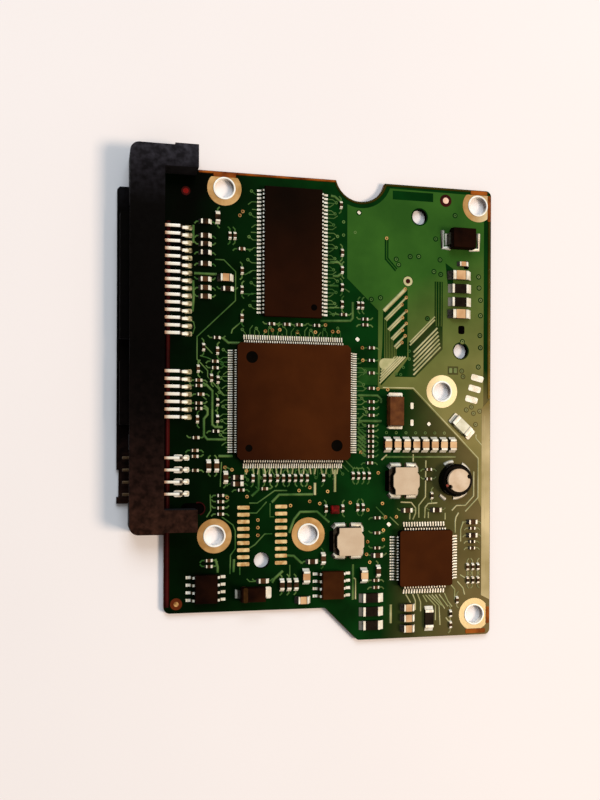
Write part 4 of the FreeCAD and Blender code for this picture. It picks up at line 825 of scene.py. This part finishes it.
def new_lead(reach, width, rise):
    """One lead along X from its root at the origin, with the solder under its foot."""
    shoulder, bend = SHOULDER * reach, BEND * reach
    lead = new_block((0, -width / 2, rise - LEAD_THICKNESS), (shoulder, width / 2, rise))
    edit(lead, "FACE", lambda face: face.normal.x > 0.9)
    drop = LEAD_THICKNESS + FOOT_LIFT - rise
    for along, up in ((bend, drop), (reach - shoulder - bend, 0)):
        bpy.ops.mesh.extrude_region_move(TRANSFORM_OT_translate={"value": (along * MM, 0, up * MM)})
    leave_edit()
    lead.data.materials.append(tin)
    lead.data.materials.append(painted_shade_metal)
    for face in lead.data.polygons:
        face.material_index = int(shoulder < face.center.x / MM < shoulder + bend)
    side = PAD_SPREAD * width
    solder = new_block((shoulder + bend, -side, 0), (reach + PAD_REACH, side, PAD_HEIGHT))
    solder.data.materials.append(tin)
    return join([lead, solder], "lead")


def lay_leads(node, chip_node):
    """Formed leads in place of a node's solids, each turned away from the nearest chip body."""
    boxes = solid_boxes(node)
    bodies = solid_boxes(chip_node)
    spots = []
    for low, high in boxes:
        middle = (low + high) / 2
        body_low, body_high = min(bodies, key=lambda box: (middle - (box[0] + box[1]) / 2).length)
        ways = [(low.x - body_high.x, 0.0, (low.x, middle.y)),
                (body_low.x - high.x, math.pi, (high.x, middle.y)),
                (low.y - body_high.y, math.pi / 2, (middle.x, low.y)),
                (body_low.y - high.y, -math.pi / 2, (middle.x, high.y))]
        _, angle, root = max(ways)
        spots.append((Vector((*root, board_face)), angle))
    reach, width = sorted((boxes[0][1] - boxes[0][0])[:2], reverse=True)
    lead = new_lead(reach / MM, width / MM, (boxes[0][1].z - board_face) / MM)
    lay(spread(lead, node + "_formed", spots), None, "lead_metal", node)


# Painted shade for the bends of the leads and the chokes' foils.
painted_shade_metal = new_finish("painted_shade_bend", (54, 40, 30), (96, 78, 60), 0.5, 0.5, metallic=0.2)
lay_leads("controller_leads", "controller_body")
lay_leads("driver_leads", "driver_body")
lay_leads("memory_leads", "memory_body")
lay_leads("switch_leads", "switch_bodies")

# Diodes and the tantalum capacitor have broad tabs of tinned strip, folded down beside the body. Their
# solder runs out round the corners of the pads. The tantalum's body is moulded in brown epoxy.
for node in ("clamp_tabs", "rectifier_tabs", "tantalum_tabs"):
    lay(moulded(node, 0.05, node + "_folded"), tin, "lead_metal", node)
tantalum_epoxy = new_finish("tantalum_epoxy", (76, 36, 14), (104, 58, 26), 1.5, 0.55, gloss=0.15,
                            relief=MATT_SKIN)
lay(moulded("tantalum_body", 0.08, "tantalum_moulding"), tantalum_epoxy, "tantalum_moulding", "tantalum_body")
tab_runs = [[(27.3, 31.2), (27.3, 28.1), (28.8, 28.1)], [(34.2, 31.0), (34.2, 28.1), (32.4, 28.05)]]
lay_traces("tab_solder", 0.85, tab_runs, tin, "cap_metal", 0.2)
lay_pads("tab_pads", [(18.5, 1.5, 2.6, 0.9, 0), (18.5, -4.1, 2.6, 0.7, 0), (-4.3, -32.6, 1.1, 2.0, 0)], tin,
         "cap_metal", 0.25)

# The shock sensor is a small block of dark red epoxy, moulded round its crystal and soldered flat to the
# board.
red_epoxy = new_finish("sensor_epoxy", (58, 0, 4), (124, 8, 14), 0.8, 0.4, gloss=0.1)
lay(moulded("shock_sensor", 0.1, "sensor_block"), red_epoxy, "sensor_moulding", "shock_sensor")

# Two chokes are pressed from beige powder round their coils, with notched corners and bowed sides, and
# below the top their sides turn near black. Each sits on two foils, painted dark as shade, whose ends are
# wetted with solder round the corners of the block. A painted shadow lies on the board left of each.
CHOKE_INSET, CORNER_DEPTH, CORNER_START, CORNER_END = 0.06, 0.45, 0.95, 1.55
RUN_GAP, RUN_OUT = 0.55, 0.25
SHADE_SIZE, SHADE_OUT = (1.1, 3.7, 0), 0.3
choke_powder = new_finish("choke_powder", (202, 175, 145), (212, 187, 157), 3.0, 0.65, relief=(0.15, 0.02))
# Below the edge of the top the finish turns near black.
shade_along(choke_powder, (0, 0, -1), -1.95, -1.8, (6, 4, 3), (26, 18, 13), 1.0)
solder_runs, shades = [], []
for node in ("upper_choke", "lower_choke"):
    low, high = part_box(node)
    middle = ((low + high) / 2 - centre) / MM
    half = (high.x - low.x) / 2 / MM
    corner = [(half - CORNER_DEPTH, half - CHOKE_INSET), (half - CORNER_DEPTH, half - CORNER_START),
              (half - CHOKE_INSET, half - CORNER_END)]
    outline = corner + [(x, -y) for x, y in reversed(corner)]
    outline += [(-x, -y) for x, y in outline]
    pressing = draw(node + "_pressing", [[(middle.x + x, middle.y + y) for x, y in outline]], True,
                    dimensions="2D", fill_mode="BOTH", extrude=(high.z - low.z) / 2)
    pressing.location = (origin.x, origin.y, (low.z + high.z) / 2)
    bpy.ops.object.transform_apply(location=True)
    weld(pressing)
    soften(pressing, 0.06)
    lay(pressing, choke_powder, "choke_casing", node)
    shades.append((middle.x - half - SHADE_OUT, middle.y, *SHADE_SIZE))
    left_run = [(-RUN_GAP, half + RUN_OUT), (0.2 - half, half + RUN_OUT), (-half - 0.3, half - 0.25)]
    right_run = [(RUN_GAP, half + RUN_OUT), (half - 0.3, half + RUN_OUT), (half - 0.05, half - 0.3),
                 (half - 0.05, half - 0.9)]
    for end in (-1, 1):
        for run in (left_run, right_run):
            solder_runs.append([(middle.x + x, middle.y + end * y) for x, y in run])
lay_traces("choke_solder", 1.0, solder_runs, tin, "lead_metal", 0.45)
# Painted shadow: a dark patch on the board to the left of each choke.
lay_pads("choke_shade", shades, black_and_painted_shade, "solder_mask", 0.05)
# Painted shade: the foils are darkened.
lay(moulded("choke_foils", 0.04, "choke_foils_in_painted_shade"), painted_shade_metal, "lead_metal", "choke_foils")

# The drum coil is wound on a ferrite drum in a black casing. The drum's pale top flange has two notches
# where the ends of the red enamelled wire pass, and solder shows as thin arcs round the casing's foot.
NOTCH_ANGLES, NOTCH_HOLE, NOTCH_DEPTH, NOTCH_UNDER = (215, 20), 0.42, 2.0, 0.5
DRUM_ARCS = ((3.25, 92, 124), (3.25, 26, 62), (3.25, 268, 318), (3.8, 226, 246))
WIRE_ANGLE, WIRE_OUT, WIRE_RADIUS, WIRE_RISE, WIRE_UNDER = 205, 2.2, 0.26, 0.26, 0.2
drum_black = new_finish("drum_black", (1, 1, 2), (6, 4, 4), 2.5, 0.4, gloss=0.05, relief=(0.2, 0.02))
lay(moulded("drum_casing", 0.12, "drum_casing_moulding"), drum_black, "drum_plastic", "drum_casing")
casing_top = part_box("drum_casing")[1].z
flange_low, flange_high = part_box("drum_core")
flange_middle = (flange_low + flange_high) / 2
flange_radius = (flange_high.x - flange_low.x) / 2 / MM


def off_axis(angle, radius, height):
    """Place at an angle in degrees and a radius in millimetres from the drum's axis, at a height."""
    way = Vector((math.cos(math.radians(angle)), math.sin(math.radians(angle)), 0))
    return Vector((flange_middle.x, flange_middle.y, height)) + way * radius * MM


ferrite = new_finish("drum_ferrite", (202, 172, 140), (226, 200, 172), 2.0, 0.6, gloss=0.1,
                     relief=(0.15, 0.02))
flange_disc = new_disc(flange_radius, (flange_high.z - flange_low.z) / MM, 56)
flange = spread(flange_disc, "drum_flange", [(off_axis(0, 0, flange_low.z), 0.0)])
for angle in NOTCH_ANGLES:
    spot = off_axis(angle, flange_radius, flange_low.z - NOTCH_UNDER * MM)
    notch = spread(new_disc(NOTCH_HOLE, NOTCH_DEPTH, 20), "notch", [(spot, 0.0)])
    only(flange)
    cut = flange.modifiers.new("notch", "BOOLEAN")
    cut.object = notch
    cut.operation = "DIFFERENCE"
    bpy.ops.object.modifier_apply(modifier=cut.name)
    bpy.data.objects.remove(notch)
soften(flange, 0.06)
lay(flange, ferrite, "drum_ferrite", "drum_core")
drum_x, drum_y = (flange_middle - centre).xy / MM
drum_runs = [arc_points(drum_x, drum_y, radius, start, end, 8) for radius, start, end in DRUM_ARCS]
lay_traces("drum_solder", 0.7, drum_runs, tin, "cap_metal", 0.25)
wire_enamel = new_finish("wire_enamel", (96, 18, 18), (170, 66, 56), 0.4, 0.3, gloss=0.3)
wire_spot = off_axis(WIRE_ANGLE, WIRE_OUT, casing_top - WIRE_UNDER * MM)
wire_end = spread(new_disc(WIRE_RADIUS, WIRE_RISE, 14), "drum_wire", [(wire_spot, 0.0)])
lay(wire_end, wire_enamel, "drum_plastic")

# The fuse is a pale ceramic block set aslant, with a metal cap crimped on each end. It is soldered to two
# pads that show beyond the caps.
FUSE_TURN = -42
FUSE_PADS = [(32.65, -5.28, 0.9, 2.0, FUSE_TURN), (29.45, -2.4, 0.7, 2.0, FUSE_TURN)]
fuse_ceramic = new_finish("fuse_ceramic", (206, 200, 172), (236, 230, 206), 1.5, 0.4, gloss=0.4)
lay(moulded("fuse_body", 0.05, "fuse_block"), fuse_ceramic, "fuse_ceramic", "fuse_body")
lay(moulded("fuse_caps", 0.12, "fuse_end_caps"), tin, "cap_metal", "fuse_caps")
lay_pads("fuse_pads", FUSE_PADS, tin, "cap_metal", 0.25)

# Chip passives are ceramic blocks with tinned ends: small dark ones, larger tan capacitors and flat black
# resistors. A fillet of solder at each end holds them, and a short track leaves each small one's ends.
SMALL_CHIP = 1.7
CAP_SHARE, RESISTOR_CAP_SHARE = 0.23, 0.16
BODY_SHARE, CAP_EDGE_SHARE = 0.96, 0.1
FILLET_SHARE, FILLET_LAP, FILLET_SIDE, FILLET_TOP, FILLET_DROP = 0.19, 0.02, 0.48, 0.6, 0.5
STUB_START, STUB_RUN, STUB_SLANT = 0.2, 0.45, 0.35
CHIP_NODES = ("connector_chips", "controller_chips", "bus_chips", "memory_chips", "preamp_chips",
              "switch_chips", "driver_chips")
chip_ceramic = new_finish("chip_ceramic", (10, 6, 4), (84, 54, 32), 2.4, 0.5)
capacitor_ceramic = new_finish("capacitor_ceramic", (188, 140, 96), (226, 184, 136), 3.0, 0.5)
# Painted shade: the capacitors' steep sides are darkened.
shade_steep(capacitor_ceramic, 0.5, (26, 14, 8), (60, 36, 20), 1.0)
resistor_glaze = new_finish("resistor_glaze", (8, 5, 4), (26, 17, 13), 1.0, 0.35)


def new_chip(length, width, height, finish):
    """One chip along X, with its tinned ends and their solder."""
    cap = (RESISTOR_CAP_SHARE if finish is resistor_glaze else CAP_SHARE) * length
    half = length / 2
    pieces = [new_block((cap - half, -width / 2, 0), (half - cap, width / 2, BODY_SHARE * height))]
    pieces[0].data.materials.append(finish)
    side = FILLET_SIDE * width
    for way in (-1, 1):
        ends = sorted((way * half, way * (half - cap)))
        cover = new_block((ends[0], -width / 2, 0), (ends[1], width / 2, height))
        edit(cover, "EDGE", lambda edge: True)
        bpy.ops.mesh.bevel(offset=CAP_EDGE_SHARE * height * MM, segments=1)
        leave_edit()
        toes = sorted((way * (half - FILLET_LAP), way * (half + FILLET_SHARE * length)))
        fillet = new_block((toes[0], -side, 0), (toes[1], side, FILLET_TOP * height))
        edit(fillet, "VERT", lambda vertex: way * vertex.co.x > half * MM and vertex.co.z > 0.1 * height * MM)
        bpy.ops.transform.translate(value=(0, 0, -FILLET_DROP * height * MM))
        leave_edit()
        for piece in (cover, fillet):
            piece.data.materials.append(tin)
        pieces += [cover, fillet]
    return join(pieces, "chip")


def lay_chips(node, finish, slot):
    """Chips in place of a node's solids, a pattern chip for each size."""
    sizes = {}
    for low, high in solid_boxes(node):
        extent = (high - low) / MM
        size = (round(max(extent.x, extent.y), 2), round(min(extent.x, extent.y), 2), round(extent.z, 2))
        spot = Vector(((low.x + high.x) / 2, (low.y + high.y) / 2, board_face))
        sizes.setdefault(size, []).append((spot, 0.0 if extent.x > extent.y else math.pi / 2))
    rows = []
    for size, spots in sizes.items():
        body = capacitor_ceramic if size[0] > SMALL_CHIP and finish is chip_ceramic else finish
        rows.append(spread(new_chip(*size, body), node + "_row", spots))
    lay(join(rows, node + "_soldered"), None, slot, node)


stubs = []
for node in CHIP_NODES:
    lay_chips(node, chip_ceramic, "chip_ceramic")
    for low, high in solid_boxes(node):
        spot = ((low + high) / 2 - origin) / MM
        extent = (high - low) / MM
        way = Vector((1, 0)) if extent.x > extent.y else Vector((0, 1))
        jog = Vector((way.y, way.x)) * (1 if int(abs(spot.x + spot.y) * 5) % 2 else -1)
        for side in (-1, 1):
            start = spot.xy + side * way * (max(extent.xy) / 2 + STUB_START)
            bend = start + side * way * STUB_RUN
            stubs.append([start, bend, bend + (side * way + jog) * STUB_SLANT])
lay_chips("filter_capacitors", capacitor_ceramic, "capacitor_ceramic")
lay_chips("sense_resistors", resistor_glaze, "resistor_glaze")
lay_traces("chip_tracks", 0.3, stubs, track_mask)

# The board lies on white paper between two soft lamps, a warm one to the right and a larger cool one
# beyond the top edge, with a weaker fill from all round.
FLOOR_SIZE, FLOOR_DROP = 6.0, 0.02
FILL_TONE, FILL_STRENGTH = (0.97, 1.0, 1.0, 1.0), 0.31
LAMPS = [("warm_lamp", (0.62, -0.16, 0.77), 0.28, 6.8, (1.0, 0.81, 0.64)),
         ("cool_lamp", (-0.1, 0.62, 0.78), 0.6, 5.3, (0.72, 0.86, 1.0))]
paper = new_finish("paper", (244, 236, 233), (247, 239, 236), 120.0, 0.9, gloss=0.02)
bpy.ops.object.select_all(action="DESELECT")
bpy.ops.mesh.primitive_plane_add(size=FLOOR_SIZE, location=(0, 0, -FLOOR_DROP * MM))
floor = bpy.context.object
floor.name = "paper_floor"
floor.data.materials.append(paper)

world = bpy.data.worlds.new("studio")
bpy.context.scene.world = world
world.use_nodes = True
world.node_tree.nodes["Background"].inputs["Color"].default_value = FILL_TONE
world.node_tree.nodes["Background"].inputs["Strength"].default_value = FILL_STRENGTH
for name, place, side, power, colour in LAMPS:
    lamp_data = bpy.data.lights.new(name, "AREA")
    lamp_data.size = side
    lamp_data.energy = power
    lamp_data.color = colour
    lamp = bpy.data.objects.new(name, lamp_data)
    bpy.context.collection.objects.link(lamp)
    lamp.location = place
    lamp.rotation_euler = (-Vector(place)).to_track_quat("-Z", "Y").to_euler()
bpy.context.scene.view_settings.view_transform = "Standard"

# The camera stands over the connector's side of the board, as the photograph was taken: a hand's breadth
# and a half above the face, and turned a little towards the far side.
CAMERA_PLACE = Vector((-60.66, -10.34, 150.24))
CAMERA_FORWARD = Vector((0.2259, -0.0015, -0.9741))
CAMERA_RIGHT = Vector((0.9741, 0.0037, 0.2259))
camera_data = bpy.data.cameras.new("camera")
camera_data.lens = 39.93
camera_data.shift_y = 0.0625
camera_data.clip_start = 0.005
camera = bpy.data.objects.new("camera", camera_data)
bpy.context.collection.objects.link(camera)
turn = Matrix((CAMERA_RIGHT, CAMERA_RIGHT.cross(CAMERA_FORWARD), -CAMERA_FORWARD)).transposed()
camera.matrix_world = Matrix.Translation(CAMERA_PLACE * MM) @ turn.to_4x4()
bpy.context.scene.camera = camera
